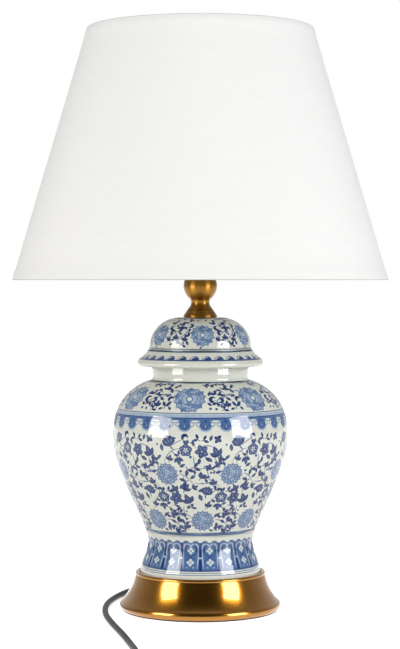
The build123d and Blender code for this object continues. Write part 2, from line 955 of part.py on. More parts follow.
def gland_nut():
    """Nut that holds the gland from inside the pedestal."""
    inside = gland_seat - gland_shank_inside + slip_gap
    nut = ring(gland_shank_radius + slip_gap / 2, gland_nut_radius, inside, inside + gland_nut_thick)
    return Pos(0, 0, gland_height) * Rot(-90, 0, 0) * nut


def inner_lead():
    """Lead from the gland's tip, under the deck and up the tube to the lampholder."""
    top = tube_top + lead_stop
    path = FilletPolyline(
        (0, gland_tip, gland_height), (0, 0, gland_height), (0, 0, top), radius=lead_bend
    )
    return sweep(Plane(path @ 0, z_dir=path % 0) * Circle(cord_radius), path=path)


def lead_cores():
    """Two cores from the end of the lead to the terminal screws."""
    low = tube_top + lead_stop + core_radius + slip_gap
    high = insulator_z - terminal_head_thick - core_radius - slip_gap
    cores = []
    for side in (-1, 1):
        start = Vector(side * core_spread, 0, low)
        end = Vector(side * (terminal_offset - terminal_head_radius / 2), 0, high)
        reach = end - start
        cores.append(
            Plane(start, z_dir=reach)
            * Cylinder(core_radius, reach.length, align=standing)
        )
    return Compound(children=cores)


# ---------------------------------------------------------------- Switch


switch_place = Pos(switch_start.X, switch_start.Y, 0) * Rot(0, 0, switch_heading)
rocker_pivot = switch_height - rocker_pivot_drop


def switch_box(low, high, wall=0.0):
    """Block of the switch's case between two heights, drawn in by a wall."""
    length = switch_length - 2 * wall
    width = switch_width - 2 * wall
    outline = RectangleRounded(length, width, switch_round)
    return Pos(switch_length / 2, 0, low) * extrude(outline, high - low)


def screw_spots():
    """The two screw places at opposite corners of the switch."""
    across = switch_width / 2 - switch_screw_inset
    return [
        Pos(switch_screw_inset + switch_wall, across, 0),
        Pos(switch_length - switch_screw_inset - switch_wall, -across, 0),
    ]


def switch_base():
    """Lower half of the switch's case, with two counterbored posts."""
    base = switch_box(0, switch_split) - switch_box(switch_wall, switch_height, switch_wall)
    for spot in screw_spots():
        base += spot * Cylinder(
            switch_screw_head + switch_wall, switch_split, align=standing
        ) & switch_box(0, switch_split)
        base -= spot * Cylinder(switch_screw_radius + slip_gap, 4 * switch_split)
        base -= spot * Cylinder(switch_screw_head + slip_gap, 2 * (switch_wall + slip_gap))
    return switch_place * base


def switch_cover():
    """Upper half of the switch's case, with the rocker's window and seats for its axle."""
    cover = switch_box(switch_split, switch_height) - switch_box(
        0, switch_height - switch_wall, switch_wall
    )
    reach = hypot(rocker_length / 2, rocker_rise)
    lean = degrees(atan2(rocker_rise, rocker_length / 2)) - rocker_tilt
    window = 2 * (reach * cos(radians(lean)) + move_gap)
    opening = Box(window, rocker_width + 2 * move_gap, 2 * switch_height)
    cover -= Pos(switch_length / 2, 0, switch_height) * opening
    axle_hole = Cylinder(axle_radius + axle_play, switch_width - 2 * (switch_wall - axle_seat))
    cover -= Pos(switch_length / 2, 0, rocker_pivot) * Rot(90, 0, 0) * axle_hole
    for spot in screw_spots():
        post = spot * Pos(0, 0, switch_split) * Cylinder(
            switch_screw_head, switch_height - switch_split, align=standing
        )
        cover += post
        cover -= spot * Cylinder(switch_screw_radius + slip_gap, 2 * (switch_height - switch_wall))
    return switch_place * cover


def switch_rocker():
    """Rocker with a dished top, pressed down at its inlet end at rest."""
    half = rocker_length / 2
    outline = Polyline(
        (-half, rocker_rise),
        (0, rocker_dip),
        (half, rocker_rise),
        (half - rocker_taper, -rocker_side_drop),
        (0, -rocker_belly),
        (rocker_taper - half, -rocker_side_drop),
        (-half, rocker_rise),
    )
    side = make_face(Plane.XZ * outline)
    body = extrude(side, rocker_width / 2, both=True)
    body -= Rot(90, 0, 0) * Cylinder(axle_radius + axle_play, 2 * rocker_width)
    return switch_place * Pos(switch_length / 2, 0, rocker_pivot) * Rot(0, -rocker_tilt, 0) * body


def switch_axle():
    """Steel pin through the rocker, seated in the cover's side walls."""
    pin = Cylinder(axle_radius, switch_width - 2 * (switch_wall - axle_seat) - slip_gap)
    return switch_place * Pos(switch_length / 2, 0, rocker_pivot) * Rot(90, 0, 0) * pin


def switch_screws():
    """Two screws that join the halves of the case from below."""
    screws = []
    for spot in screw_spots():
        head = ring(0, switch_screw_head, 2 * slip_gap, switch_wall)
        shank = ring(0, switch_screw_radius, switch_wall, switch_height - switch_wall - switch_screw_cap)
        screws.append(switch_place * spot * (head + shank))
    return Compound(children=screws)


def switch_contacts():
    """Two brass strips on the switch's floor that the rocker joins."""
    strips = []
    for side in (-1, 1):
        foot = Box(strip_length, strip_width, strip_thick, align=standing)
        post = Pos(side * (strip_thick - strip_length) / 2, 0, 0) * Box(
            strip_thick, strip_width, strip_post, align=standing
        )
        strips.append(
            switch_place * Pos(switch_length / 2 + side * strip_offset, 0, switch_wall) * (foot + post)
        )
    return Compound(children=strips)


# ---------------------------------------------------------------- Plug


plug_place = Pos(plug_start) * Rot(0, 0, plug_heading)
plug_face = plug_nose_length + plug_length


def plug_body():
    """Flat moulded plug with a tapered nose for the cord."""
    nose = Rot(0, 90, 0) * turned(
        Polyline(
            (0, 0),
            (plug_tip_radius, 0),
            (plug_nose_radius, plug_nose_length + plug_round),
            (0, plug_nose_length + plug_round),
            (0, 0),
        )
    )
    half = plug_width / 2
    waist = plug_waist_width / 2
    shoulder = plug_nose_length + plug_shoulder
    outline = Polyline(
        (plug_nose_length, -waist),
        (shoulder, -half),
        (plug_face, -half),
        (plug_face, half),
        (shoulder, half),
        (plug_nose_length, waist),
        (plug_nose_length, -waist),
    )
    block = extrude(make_face(outline), plug_thick / 2, both=True)
    block = fillet(block.edges().filter_by(Axis.Z), plug_round)
    block = fillet(block.faces().sort_by(Axis.Z)[-1].edges(), plug_round)
    block = fillet(block.faces().sort_by(Axis.Z)[0].edges(), plug_round)
    body = nose + block
    for side in (-1, 1):
        hole = Cylinder(pin_core_radius + slip_gap, pin_root + slip_gap, align=hanging)
        body -= Pos(plug_face, side * pin_spacing / 2, 0) * Rot(0, 90, 0) * hole
    return plug_place * body


def pin_pair(pin):
    """Two copies of a turned pin piece, standing out of the plug's face."""
    spots = [Pos(plug_face, side * pin_spacing / 2, 0) * Rot(0, 90, 0) for side in (-1, 1)]
    return Compound(children=[plug_place * spot * pin for spot in spots])


def plug_pins():
    """Two pins, thinner under their sleeves."""
    return pin_pair(
        turned(
            Polyline(
                (0, -pin_root),
                (pin_core_radius, -pin_root),
                (pin_core_radius, pin_sleeve_length),
                (pin_radius, pin_sleeve_length),
                (pin_radius, pin_length - pin_chamfer),
                (pin_radius - pin_chamfer, pin_length),
                (0, pin_length),
                (0, -pin_root),
            )
        )
    )


def plug_sleeves():
    """Insulating sleeves on the roots of the pins."""
    return pin_pair(ring(pin_core_radius + slip_gap / 2, pin_sleeve_radius, 0, pin_sleeve_length))


nodes["felt_pad"] = felt_pad()
nodes["bottom_cover"] = bottom_cover()
nodes["pedestal"] = pedestal()
nodes["base_weight"] = base_weight()
nodes["tube_washer"] = tube_washer()
nodes["tube_lock_washer"] = tube_lock_washer()
nodes["tube_nut"] = tube_nut()
nodes["tube"] = tube()
nodes["foot_gasket"] = foot_gasket()
nodes["jar"] = jar()
nodes["lid_gasket"] = lid_gasket()
nodes["lid"] = lid()
nodes["neck_collar"] = neck_collar()
nodes["neck_spool"] = neck_spool()
nodes["neck_ball"] = neck_ball()
nodes["holder_cap"] = holder_cap()
nodes["holder_insulator"] = holder_insulator()
nodes["holder_skirt"] = holder_skirt()
nodes["holder_contacts"] = holder_contacts()
nodes["terminal_screws"] = terminal_screws()
nodes["shade_nut_lower"] = ring_nut(lower_nut_z)
nodes["shade_nut_upper"] = ring_nut(upper_nut_z)
nodes["shade_frame"] = shade_frame()
nodes["shade_top_hoop"] = shade_top_hoop()
nodes["shade_cover"] = shade_cover()
nodes["bulb_contact"] = bulb_contact()
nodes["bulb_insulator"] = bulb_insulator()
nodes["bulb_cap"] = bulb_cap()
nodes["bulb_housing"] = bulb_housing()
nodes["bulb_diffuser"] = bulb_diffuser()
nodes["cord_gland"] = cord_gland()
nodes["gland_nut"] = gland_nut()
nodes["inner_lead"] = inner_lead()
nodes["lead_cores"] = lead_cores()
nodes["cord_run"] = cord_run()
nodes["cord_link"] = cord_link()
nodes["cord_coil"] = cord_coil()
nodes["cord_tail"] = cord_tail()
nodes["coil_tie"] = coil_tie()
nodes["switch_base"] = switch_base()
nodes["switch_cover"] = switch_cover()
nodes["switch_rocker"] = switch_rocker()
nodes["switch_axle"] = switch_axle()
nodes["switch_screws"] = switch_screws()
nodes["switch_contacts"] = switch_contacts()
nodes["plug_body"] = plug_body()
nodes["plug_pins"] = plug_pins()
nodes["plug_sleeves"] = plug_sleeves()

for name, solid in nodes.items():
    export_step(solid, "parts/" + name + ".step")
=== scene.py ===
"""Ginger jar table lamp: the painted jar, brass, shade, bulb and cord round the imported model."""
from math import atan2, ceil, cos, degrees, hypot, pi, radians, sin

import bmesh
import bpy
from bpy.props import FloatProperty, PointerProperty, StringProperty
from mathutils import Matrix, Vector
from mathutils.geometry import delaunay_2d_cdt, interpolate_bezier


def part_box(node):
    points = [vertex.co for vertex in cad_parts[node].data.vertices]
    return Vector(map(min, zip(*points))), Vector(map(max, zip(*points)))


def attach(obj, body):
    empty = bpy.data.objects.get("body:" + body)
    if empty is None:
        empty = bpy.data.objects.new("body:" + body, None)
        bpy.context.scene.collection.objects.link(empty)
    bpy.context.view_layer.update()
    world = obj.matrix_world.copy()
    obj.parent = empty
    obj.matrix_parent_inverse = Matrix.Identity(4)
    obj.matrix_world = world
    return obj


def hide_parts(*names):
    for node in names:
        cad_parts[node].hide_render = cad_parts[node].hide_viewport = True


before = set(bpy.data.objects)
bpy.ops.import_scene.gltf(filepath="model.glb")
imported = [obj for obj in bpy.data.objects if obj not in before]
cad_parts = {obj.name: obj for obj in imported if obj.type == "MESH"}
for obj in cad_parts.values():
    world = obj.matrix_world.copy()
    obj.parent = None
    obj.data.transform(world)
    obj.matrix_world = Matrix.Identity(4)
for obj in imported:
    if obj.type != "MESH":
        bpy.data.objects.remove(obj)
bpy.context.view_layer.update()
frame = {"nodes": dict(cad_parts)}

bl_info = {
    "name": "Ginger Jar Lamp",
    "version": (1, 0, 0),
    "blender": (4, 5, 0),
    "location": "3D View > Sidebar > Lamp",
    "description": "Builds the finished surfaces and soft pieces of a ginger jar table lamp",
    "category": "Object",
}

MM = 0.001


def box_mm(node):
    """Lowest and highest corners of a node, in millimetres."""
    low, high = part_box(node)
    return Vector(low) / MM, Vector(high) / MM


# ---------------------------------------------------------------- Settings


class GlazeSettings(bpy.types.PropertyGroup):
    """Colours of the painted ceramic, as sRGB hex."""

    ground: StringProperty(name="Ground", description="Clear glaze over the white body", default="E3E5DA")
    wash: StringProperty(name="Wash", description="Thin cobalt wash in the petals", default="A7BACF")
    mid: StringProperty(name="Middle blue", description="Cobalt in one coat", default="7089AC")
    blue: StringProperty(name="Full blue", description="Cobalt in two coats", default="53719E")
    line: StringProperty(name="Line blue", description="Cobalt outlines and borders", default="3C5A90")
    deep: StringProperty(name="Deep blue", description="Cobalt where it pools", default="213A72")
    ripple: FloatProperty(
        name="Ripple", description="Height of the glaze's ripple", default=0.00002, unit="LENGTH"
    )


class BrassSettings(bpy.types.PropertyGroup):
    """Colours of the pedestal and the neck."""

    gold: StringProperty(name="Pedestal", description="Lacquered spun brass", default="AE7622")
    aged: StringProperty(name="Neck", description="Aged brass of the neck", default="8F6524")
    spin_pitch: FloatProperty(
        name="Spinning lines", description="Spacing of the lathe's lines", default=0.0009, unit="LENGTH"
    )


class ShadeSettings(bpy.types.PropertyGroup):
    """Cloth of the shade."""

    cloth: StringProperty(name="Cloth", description="Bleached linen cloth", default="F9F9F8")
    thread: FloatProperty(name="Thread", description="Spacing of the threads", default=0.0009, unit="LENGTH")
    thickness: FloatProperty(name="Thickness", description="Cloth and liner", default=0.0008, unit="LENGTH")


class CordSettings(bpy.types.PropertyGroup):
    """The mains cord."""

    radius: FloatProperty(name="Radius", description="Radius of the sheath", default=0.003, unit="LENGTH")
    sheath: StringProperty(name="Sheath", description="Black sheath", default="141415")


class LampSettings(bpy.types.PropertyGroup):
    """Everything that a user would change."""

    glaze: PointerProperty(type=GlazeSettings)
    brass: PointerProperty(type=BrassSettings)
    shade: PointerProperty(type=ShadeSettings)
    cord: PointerProperty(type=CordSettings)


# ---------------------------------------------------------------- Small helpers


def linear(code):
    """Linear RGBA of an sRGB hex code."""
    levels = [int(code[n:n + 2], 16) / 255 for n in (0, 2, 4)]
    return [v / 12.92 if v <= 0.04045 else ((v + 0.055) / 1.055) ** 2.4 for v in levels] + [1.0]


def add_node(tree, kind, inputs=None, to=None, **settings):
    """Adds a node with its settings; an input takes a socket or a value, and to takes its first output."""
    node = tree.nodes.new(kind)
    for name, value in settings.items():
        setattr(node, name, value)
    for name, value in (inputs or {}).items():
        if isinstance(value, bpy.types.NodeSocket):
            tree.links.new(value, node.inputs[name])
        else:
            node.inputs[name].default_value = value
    if to is not None:
        tree.links.new(node.outputs[0], to)
    return node


def new_material(name, colour, **shader):
    """A Principled material with plain values on its sockets; returns it, its tree and its shader."""
    material = bpy.data.materials.new(name)
    material.use_nodes = True
    tree = material.node_tree
    surface = tree.nodes["Principled BSDF"]
    surface.inputs["Base Color"].default_value = linear(colour)
    for key, value in shader.items():
        surface.inputs[key.replace("_", " ")].default_value = value
    material.diffuse_color = linear(colour)
    return material, tree, surface


def new_object(name, mesh):
    """Links a mesh or curve as a new object at the origin."""
    obj = bpy.data.objects.new(name, mesh)
    bpy.context.scene.collection.objects.link(obj)
    return obj


def activate(obj):
    """Selects one object alone."""
    bpy.ops.object.select_all(action="DESELECT")
    obj.select_set(True)
    bpy.context.view_layer.objects.active = obj


def give(obj, *materials):
    """Puts materials in an object's slots."""
    if obj.data.materials:
        obj.data.materials.clear()
    for material in materials:
        obj.data.materials.append(material)


def stand_for(obj, body, slot, *nodes):
    """Makes a piece ride on a body and stand for CAD nodes; the slot is not used."""
    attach(obj, body)
    if nodes:
        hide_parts(*nodes)


def spun(name, spots, steps=180, angle=35):
    """Turned piece: an outline of radius and height in mm, spun round Z in edit mode."""
    mesh = bpy.data.meshes.new(name)
    mesh.from_pydata(
        [(r * MM, 0, z * MM) for r, z in spots], [(n, n + 1) for n in range(len(spots) - 1)], []
    )
    obj = new_object(name, mesh)
    activate(obj)
    bpy.ops.object.mode_set(mode="EDIT")
    bpy.ops.mesh.select_all(action="SELECT")
    bpy.ops.mesh.spin(steps=steps, angle=2 * pi, center=(0, 0, 0), axis=(0, 0, 1))
    bpy.ops.mesh.select_all(action="SELECT")
    bpy.ops.mesh.remove_doubles(threshold=0.002 * MM)
    bpy.ops.mesh.normals_make_consistent(inside=False)
    bpy.ops.object.mode_set(mode="OBJECT")
    bpy.ops.object.shade_smooth_by_angle(angle=radians(angle))
    return obj


def bend(start, start_pull, end_pull, end, steps=12):
    """Points of a Bezier bend between two spots of an outline."""
    points = interpolate_bezier(Vector(start), Vector(start_pull), Vector(end_pull), Vector(end), steps + 1)
    return [(p.x, p.y) for p in points]


def arc(centre, radius, start, end, steps=8):
    """Points of a round from one angle to another, in degrees."""
    turns = [radians(start + (end - start) * n / steps) for n in range(steps + 1)]
    return [(centre[0] + radius * cos(a), centre[1] + radius * sin(a)) for a in turns]


# ---------------------------------------------------------------- Outlines of the ceramic, in mm

JAR_LOW, JAR_HIGH = box_mm("jar")
LID_LOW, LID_HIGH = box_mm("lid")
JAR_Z = JAR_LOW.z
LID_SEAT = LID_HIGH.z - 46.5
FOOT_RADIUS = 62.0
FOOT_HEIGHT = 6.0
WAIST = (53.8, JAR_Z + 32.0)
BELLY = (90.8, JAR_Z + 145.0)
SHOULDER = (50.4, JAR_Z + 200.5)
JAR_WALL = 5.0
LID_EDGE = (65.2 - 3.2 / 3, LID_SEAT + 3.3)
LID_NECK = (51.8, LID_SEAT + 18.9)
LID_CROWN = (20.0, LID_HIGH.z)


class Outline:
    """The outer line of a turned piece, upwards, measured along its length in mm."""

    def __init__(self, spots):
        self.spots = [spots[0]]
        self.marks = [0.0]
        for spot in spots[1:]:
            step = hypot(spot[0] - self.spots[-1][0], spot[1] - self.spots[-1][1])
            if step > 1e-6:
                self.marks.append(self.marks[-1] + step)
                self.spots.append(spot)

    def span(self, value, values):
        """Index and share of the stretch that holds a value."""
        low, high = 0, len(values) - 2
        while low < high:
            middle = (low + high + 1) // 2
            if values[middle] <= value:
                low = middle
            else:
                high = middle - 1
        width = values[low + 1] - values[low]
        return low, (value - values[low]) / width if width else 0.0

    def at(self, mark):
        """Radius and height at a distance along the line."""
        n, share = self.span(mark, self.marks)
        (r0, z0), (r1, z1) = self.spots[n], self.spots[n + 1]
        return r0 + (r1 - r0) * share, z0 + (z1 - z0) * share

    def mark(self, height):
        """Distance along the line at which a height is reached."""
        n, share = self.span(height, [z for _, z in self.spots])
        return self.marks[n] + (self.marks[n + 1] - self.marks[n]) * share

    def slope(self, height):
        """Outward normal, as radius and height parts, at a height."""
        n, share = self.span(height, [z for _, z in self.spots])
        share = min(1.0, max(0.0, share))
        parts = []
        for k in (n, n + 1):
            before = self.spots[max(0, k - 1)]
            after = self.spots[min(len(self.spots) - 1, k + 1)]
            step = Vector((after[1] - before[1], before[0] - after[0]))
            parts.append(step.normalized())
        return (parts[0] * (1 - share) + parts[1] * share).normalized()


def jar_outline():
    """Foot, waist, belly and shoulder of the jar."""
    foot = (FOOT_RADIUS, JAR_Z + FOOT_HEIGHT)
    spots = bend(foot, (foot[0], foot[1] + 5.7), (WAIST[0], WAIST[1] - 5.7), WAIST, 24)
    spots += bend(WAIST, (WAIST[0], WAIST[1] + 21.8), (BELLY[0], BELLY[1] - 42.9), BELLY, 60)
    crown = (BELLY[0], BELLY[1] + 37.1)
    spots += bend(BELLY, crown, (SHOULDER[0] + 14.9, SHOULDER[1] - 3.8), SHOULDER, 60)
    return Outline(spots)


def lid_outline():
    """Flange and dome of the lid."""
    flange = (LID_EDGE[0] - 4.3, LID_EDGE[1] + 2.15)
    spots = bend(LID_EDGE, flange, (LID_NECK[0], LID_NECK[1] - 6.5), LID_NECK, 30)
    rise = (LID_NECK[0], LID_NECK[1] + 10.4)
    spots += bend(LID_NECK, rise, (LID_CROWN[0] + 21.7, LID_CROWN[1]), LID_CROWN, 50)
    return Outline(spots)


# ---------------------------------------------------------------- Brush strokes, in mm

GROUND, WASH, MID, BLUE, LINE, DEEP = range(6)


def turned_by(points, turn=0.0, x=0.0, y=0.0):
    """Points turned by an angle in degrees and moved."""
    c, s = cos(radians(turn)), sin(radians(turn))
    return [(x + c * u - s * v, y + s * u + c * v) for u, v in points]


def leaf(length, width, turn=0.0, x=0.0, y=0.0, lean=1.0, blunt=1.0, steps=6):
    """Leaf or petal from a spot along a direction; lean fills its tip, and a low blunt rounds its ends."""
    sides = []
    for n in range(1, steps):
        t = n / steps
        sides.append((length * t, width / 2 * sin(pi * t**lean) ** blunt))
    outline = [(0, 0)] + sides + [(length, 0)] + [(u, -v) for u, v in reversed(sides)]
    return turned_by(outline, turn, x, y)


def comma(size, turn=0.0, steps=6):
    """Curled leaf: a fat head that draws out into a hooked tail, about its middle."""
    outer, inner = [], []
    radius = size * 0.34
    for n in range(steps + 1):
        t = n / steps
        angle = radians(215 - 235 * t)
        half = size * (0.03 + 0.19 * sin(pi * min(1.0, 0.12 + 0.95 * t)) ** 0.8)
        outer.append(((radius + half) * cos(angle), (radius + half) * sin(angle)))
        inner.append(((radius - half) * cos(angle), (radius - half) * sin(angle)))
    return turned_by(outer + inner[::-1], turn)


def disc(radius, x=0.0, y=0.0, count=12):
    """Round dab."""
    turns = [2 * pi * n / count for n in range(count)]
    return [(x + radius * cos(a), y + radius * sin(a)) for a in turns]


def oval(wide, high, spots=16, half_turn=8, lean=0.0, shift=0.0):
    """Oval dab, or the upper part of one; half_turn is the number of steps in half a turn."""
    turns = [pi * n / half_turn for n in range(spots)]
    return [(wide * cos(a) + lean * sin(a) + shift, high * sin(a)) for a in turns]


def stroke(start, pull, end, width, steps=6):
    """Brush line along a bend, thin at both ends."""
    start, pull, end = Vector(start), Vector(pull), Vector(end)
    left, right = [], []
    for n in range(steps + 1):
        t = n / steps
        spot = start * (1 - t) ** 2 + pull * (2 * t * (1 - t)) + end * t * t
        along = (pull - start) * (1 - t) + (end - pull) * t
        side = Vector((-along.y, along.x)).normalized() * width / 2 * (0.35 + 0.65 * sin(pi * t))
        left.append(tuple(spot + side))
        right.append(tuple(spot - side))
    return left + right[::-1]


class Painting:
    """One zone of painting: a tile that repeats round the jar between two marks of its outline."""

    def __init__(self, outline, low, high, count, columns, start=0.0):
        self.outline = outline
        self.low = outline.mark(low)
        self.high = outline.mark(high)
        self.count = count
        self.columns = columns
        self.start = radians(start)
        self.period = 2 * pi / count
        self.scale = outline.at((self.low + self.high) / 2)[0]
        self.shapes = []

    def flat(self, turn, mark):
        """Place in the flat tile, in mm."""
        return turn * self.scale, mark

    def add(self, tone, outline):
        """Adds a shape given as turn and mark, if it reaches the tile."""
        points = [self.flat(turn, mark) for turn, mark in outline]
        xs = [p[0] for p in points]
        ys = [p[1] for p in points]
        width = self.period * self.scale
        if max(xs) > 0 and min(xs) < width and max(ys) > self.low and min(ys) < self.high:
            self.shapes.append((tone, points, (min(xs), max(xs), min(ys), max(ys))))

    def dab(self, tone, turn, height, outline, lift=0.0):
        """Paints a shape, drawn in mm, at a turn in degrees and a height, and over the tile's sides."""
        middle = self.outline.mark(height) + lift
        for shift in (-1, 0, 1):
            place = radians(turn) + shift * self.period
            shape = []
            for u, v in outline:
                radius = self.outline.at(middle + v)[0]
                shape.append((place + u / radius, middle + v))
            self.add(tone, shape)

    def band(self, tone, low, high):
        """Paints a line right round, between two heights."""
        low, high = self.outline.mark(low), self.outline.mark(high)
        edge = 0.02
        self.add(tone, [(-edge, low), (self.period + edge, low), (self.period + edge, high), (-edge, high)])

    def tone_at(self, x, y):
        """Tone of the last shape painted over a spot."""
        for tone, points, (x0, x1, y0, y1) in reversed(self.shapes):
            if not (x0 <= x <= x1 and y0 <= y <= y1):
                continue
            inside = False
            before = points[-1]
            for spot in points:
                if (spot[1] > y) != (before[1] > y):
                    if x < before[0] + (y - before[1]) * (spot[0] - before[0]) / (spot[1] - before[1]):
                        inside = not inside
                before = spot
            if inside:
                return tone
        return GROUND

    def rows(self):
        """Marks of the tile's even rows."""
        count = max(2, ceil((self.high - self.low) / 3.6))
        return [self.low + (self.high - self.low) * n / count for n in range(count + 1)]

    def tile(self):
        """Triangles of one tile with their tones."""
        width = self.period * self.scale
        rows = self.rows()
        across = [width * n / self.columns for n in range(self.columns + 1)]
        points = [(x, y) for y in rows for x in across]
        edges = []
        last = len(rows) - 1
        wide = len(across)
        for n in range(wide - 1):
            edges += [(n, n + 1), (last * wide + n, last * wide + n + 1)]
        for n in range(last):
            edges += [(n * wide, (n + 1) * wide), (n * wide + wide - 1, (n + 1) * wide + wide - 1)]
        grid_points, grid_edges = list(points), list(edges)
        for _, shape, _ in self.shapes:
            first = len(points)
            points += shape
            edges += [(first + n, first + (n + 1) % len(shape)) for n in range(len(shape))]
        flat, toned = self.triangles(points, edges)
        # A second pass leaves out the lines that were painted over, since they part no tones.
        tones = {}
        for face, tone, _ in toned:
            for n, spot in enumerate(face):
                tones.setdefault((min(spot, face[n - 1]), max(spot, face[n - 1])), set()).add(tone)
        lines = [edge for edge, found in tones.items() if len(found) > 1]
        ends = sorted({n for edge in lines for n in edge})
        index = {n: len(grid_points) + k for k, n in enumerate(ends)}
        points = grid_points + [tuple(flat[n]) for n in ends]
        edges = grid_edges + [(index[a], index[b]) for a, b in lines]
        flat, toned = self.triangles(points, edges)
        kept = [
            (face, tone) for face, tone, (x, y) in toned if 0 < x < width and self.low < y < self.high
        ]
        return flat, kept

    def triangles(self, points, edges):
        """Triangles between lines, each with its tone and its middle."""
        flat, _, faces, _, _, _ = delaunay_2d_cdt([Vector(p) for p in points], edges, [], 0, 0.002)
        toned = []
        for face in faces:
            x = sum(flat[n].x for n in face) / 3
            y = sum(flat[n].y for n in face) / 3
            toned.append((face, self.tone_at(x, y), (x, y)))
        return flat, toned

    def mesh(self):
        """Vertices in mm and toned faces of the whole zone."""
        flat, kept = self.tile()
        used = sorted({n for face, _ in kept for n in face})
        index = {n: k for k, n in enumerate(used)}
        spots, faces = [], []
        for copy in range(self.count):
            first = len(spots)
            for n in used:
                turn = self.start + copy * self.period + flat[n].x / self.scale
                radius, height = self.outline.at(flat[n].y)
                spots.append((radius * sin(turn), -radius * cos(turn), height))
            faces += [([first + index[n] for n in face], tone) for face, tone in kept]
        return spots, faces


def ring_points(radius, height, turns):
    """A rim's points at given turns from the front."""
    return [(radius * sin(turn), -radius * cos(turn), height) for turn in turns]


class Shell:
    """A ceramic piece put together from painted zones, plain rings and strips between them."""

    def __init__(self):
        self.spots = []
        self.faces = []

    def take(self, spots, faces):
        """Adds a zone."""
        first = len(self.spots)
        self.spots += spots
        self.faces += [([first + n for n in face], tone) for face, tone in faces]

    def strip(self, low, high, tone=GROUND):
        """Joins two rims of different counts; each is (radius, height, count, start in degrees)."""
        first = len(self.spots)
        turns = []
        for radius, height, count, start in (low, high):
            rim = [radians(start) + 2 * pi * n / count for n in range(count)]
            self.spots += ring_points(radius, height, rim)
            turns.append(sorted((turn % (2 * pi), n) for n, turn in enumerate(rim)))
        a, b = turns
        base = (first, first + low[2])
        i = j = 0
        while i < len(a) or j < len(b):
            here = (base[0] + a[i % len(a)][1], base[1] + b[j % len(b)][1])
            next_a = a[(i + 1) % len(a)][0] + 2 * pi * ((i + 1) // len(a))
            next_b = b[(j + 1) % len(b)][0] + 2 * pi * ((j + 1) // len(b))
            if j >= len(b) or (i < len(a) and next_a <= next_b):
                i += 1
                self.faces.append(([here[0], base[0] + a[i % len(a)][1], here[1]], tone))
            else:
                j += 1
                self.faces.append(([here[0], base[1] + b[j % len(b)][1], here[1]], tone))

    def lathe(self, spots, count, start=0.0, tone=GROUND):
        """Adds plain rings along an outline."""
        first = len(self.spots)
        turns = [radians(start) + 2 * pi * n / count for n in range(count)]
        for radius, height in spots:
            self.spots += ring_points(radius, height, turns)
        for k in range(len(spots) - 1):
            for n in range(count):
                low, high = first + k * count, first + (k + 1) * count
                after = (n + 1) % count
                self.faces.append(([low + n, low + after, high + after, high + n], tone))

    def build(self, name, outline, painted_low, painted_high, materials):
        """Makes the mesh, welds it and sets the painted surface's normals from its outline."""
        mesh = bpy.data.meshes.new(name)
        mesh.from_pydata([Vector(p) * MM for p in self.spots], [], [face for face, _ in self.faces])
        for polygon, (_, tone) in zip(mesh.polygons, self.faces):
            polygon.material_index = tone
        work = bmesh.new()
        work.from_mesh(mesh)
        bmesh.ops.remove_doubles(work, verts=work.verts, dist=0.004 * MM)
        bmesh.ops.dissolve_degenerate(work, edges=work.edges, dist=0.002 * MM)
        bmesh.ops.recalc_face_normals(work, faces=work.faces)
        work.to_mesh(mesh)
        work.free()
        obj = new_object(name, mesh)
        give(obj, *materials)
        activate(obj)
        bpy.ops.object.shade_smooth_by_angle(angle=radians(40))
        normals = []
        for polygon in mesh.polygons:
            for n in polygon.loop_indices:
                spot = mesh.vertices[mesh.loops[n].vertex_index].co / MM
                radius = hypot(spot.x, spot.y)
                skin = outline.at(outline.mark(spot.z))[0]
                if painted_low < spot.z < painted_high and abs(radius - skin) < 0.15:
                    out, up = outline.slope(spot.z)
                    normals.append((out * spot.x / radius, out * spot.y / radius, up))
                else:
                    normals.append((0, 0, 0))
        mesh.normals_split_custom_set(normals)
        return obj


# ---------------------------------------------------------------- Motifs


def lotus(painting, turn, height, size, rings, outline_tone, fill_tone, light_tone):
    """Scrolled lotus medallion: rings of outlined petals round a seed head."""
    painting.dab(outline_tone, turn, height, disc(size * 0.86, count=24))
    for share, count, offset, blunt in rings:
        reach = size * share
        width = 2 * pi * reach * 0.8 / count * 1.18
        angles = [90 + 360 * (n + offset) / count for n in range(count)]
        for angle in angles:
            petal = leaf(reach, width, angle, lean=2.0, blunt=blunt, steps=5)
            painting.dab(outline_tone, turn, height, petal)
        for n, angle in enumerate(angles):
            tone = fill_tone if n % 3 else light_tone
            inside = leaf(reach * 0.96, width * 0.74, angle, lean=2.0, blunt=blunt, steps=4)
            painting.dab(tone, turn, height, inside)
            tip = turned_by([(reach * 0.7, 0)], angle)[0]
            tone = light_tone if n % 3 else outline_tone
            touch = leaf(reach * 0.19, width * 0.26, angle, *tip, blunt=0.7, steps=3)
            painting.dab(tone, turn, height, touch)
    painting.dab(outline_tone, turn, height, disc(size * 0.22))
    painting.dab(light_tone, turn, height, disc(size * 0.17))
    painting.dab(outline_tone, turn, height, disc(size * 0.07, count=8))


def blossom(painting, turn, height, size, spin):
    """Five-petalled blossom with a light star between its petals."""
    for n in range(5):
        angle = 90 + spin + 72 * n
        painting.dab(DEEP, turn, height, leaf(size, size * 0.9, angle, lean=1.6, blunt=0.8))
    for n in range(5):
        angle = 90 + spin + 72 * n
        spot = turned_by([(size * 0.42, 0)], angle)[0]
        painting.dab(BLUE, turn, height, leaf(size * 0.44, size * 0.42, angle, *spot, blunt=0.8))
        painting.dab(GROUND, turn, height, leaf(size * 0.5, size * 0.17, angle + 36))
    painting.dab(LINE, turn, height, disc(size * 0.1, count=7))


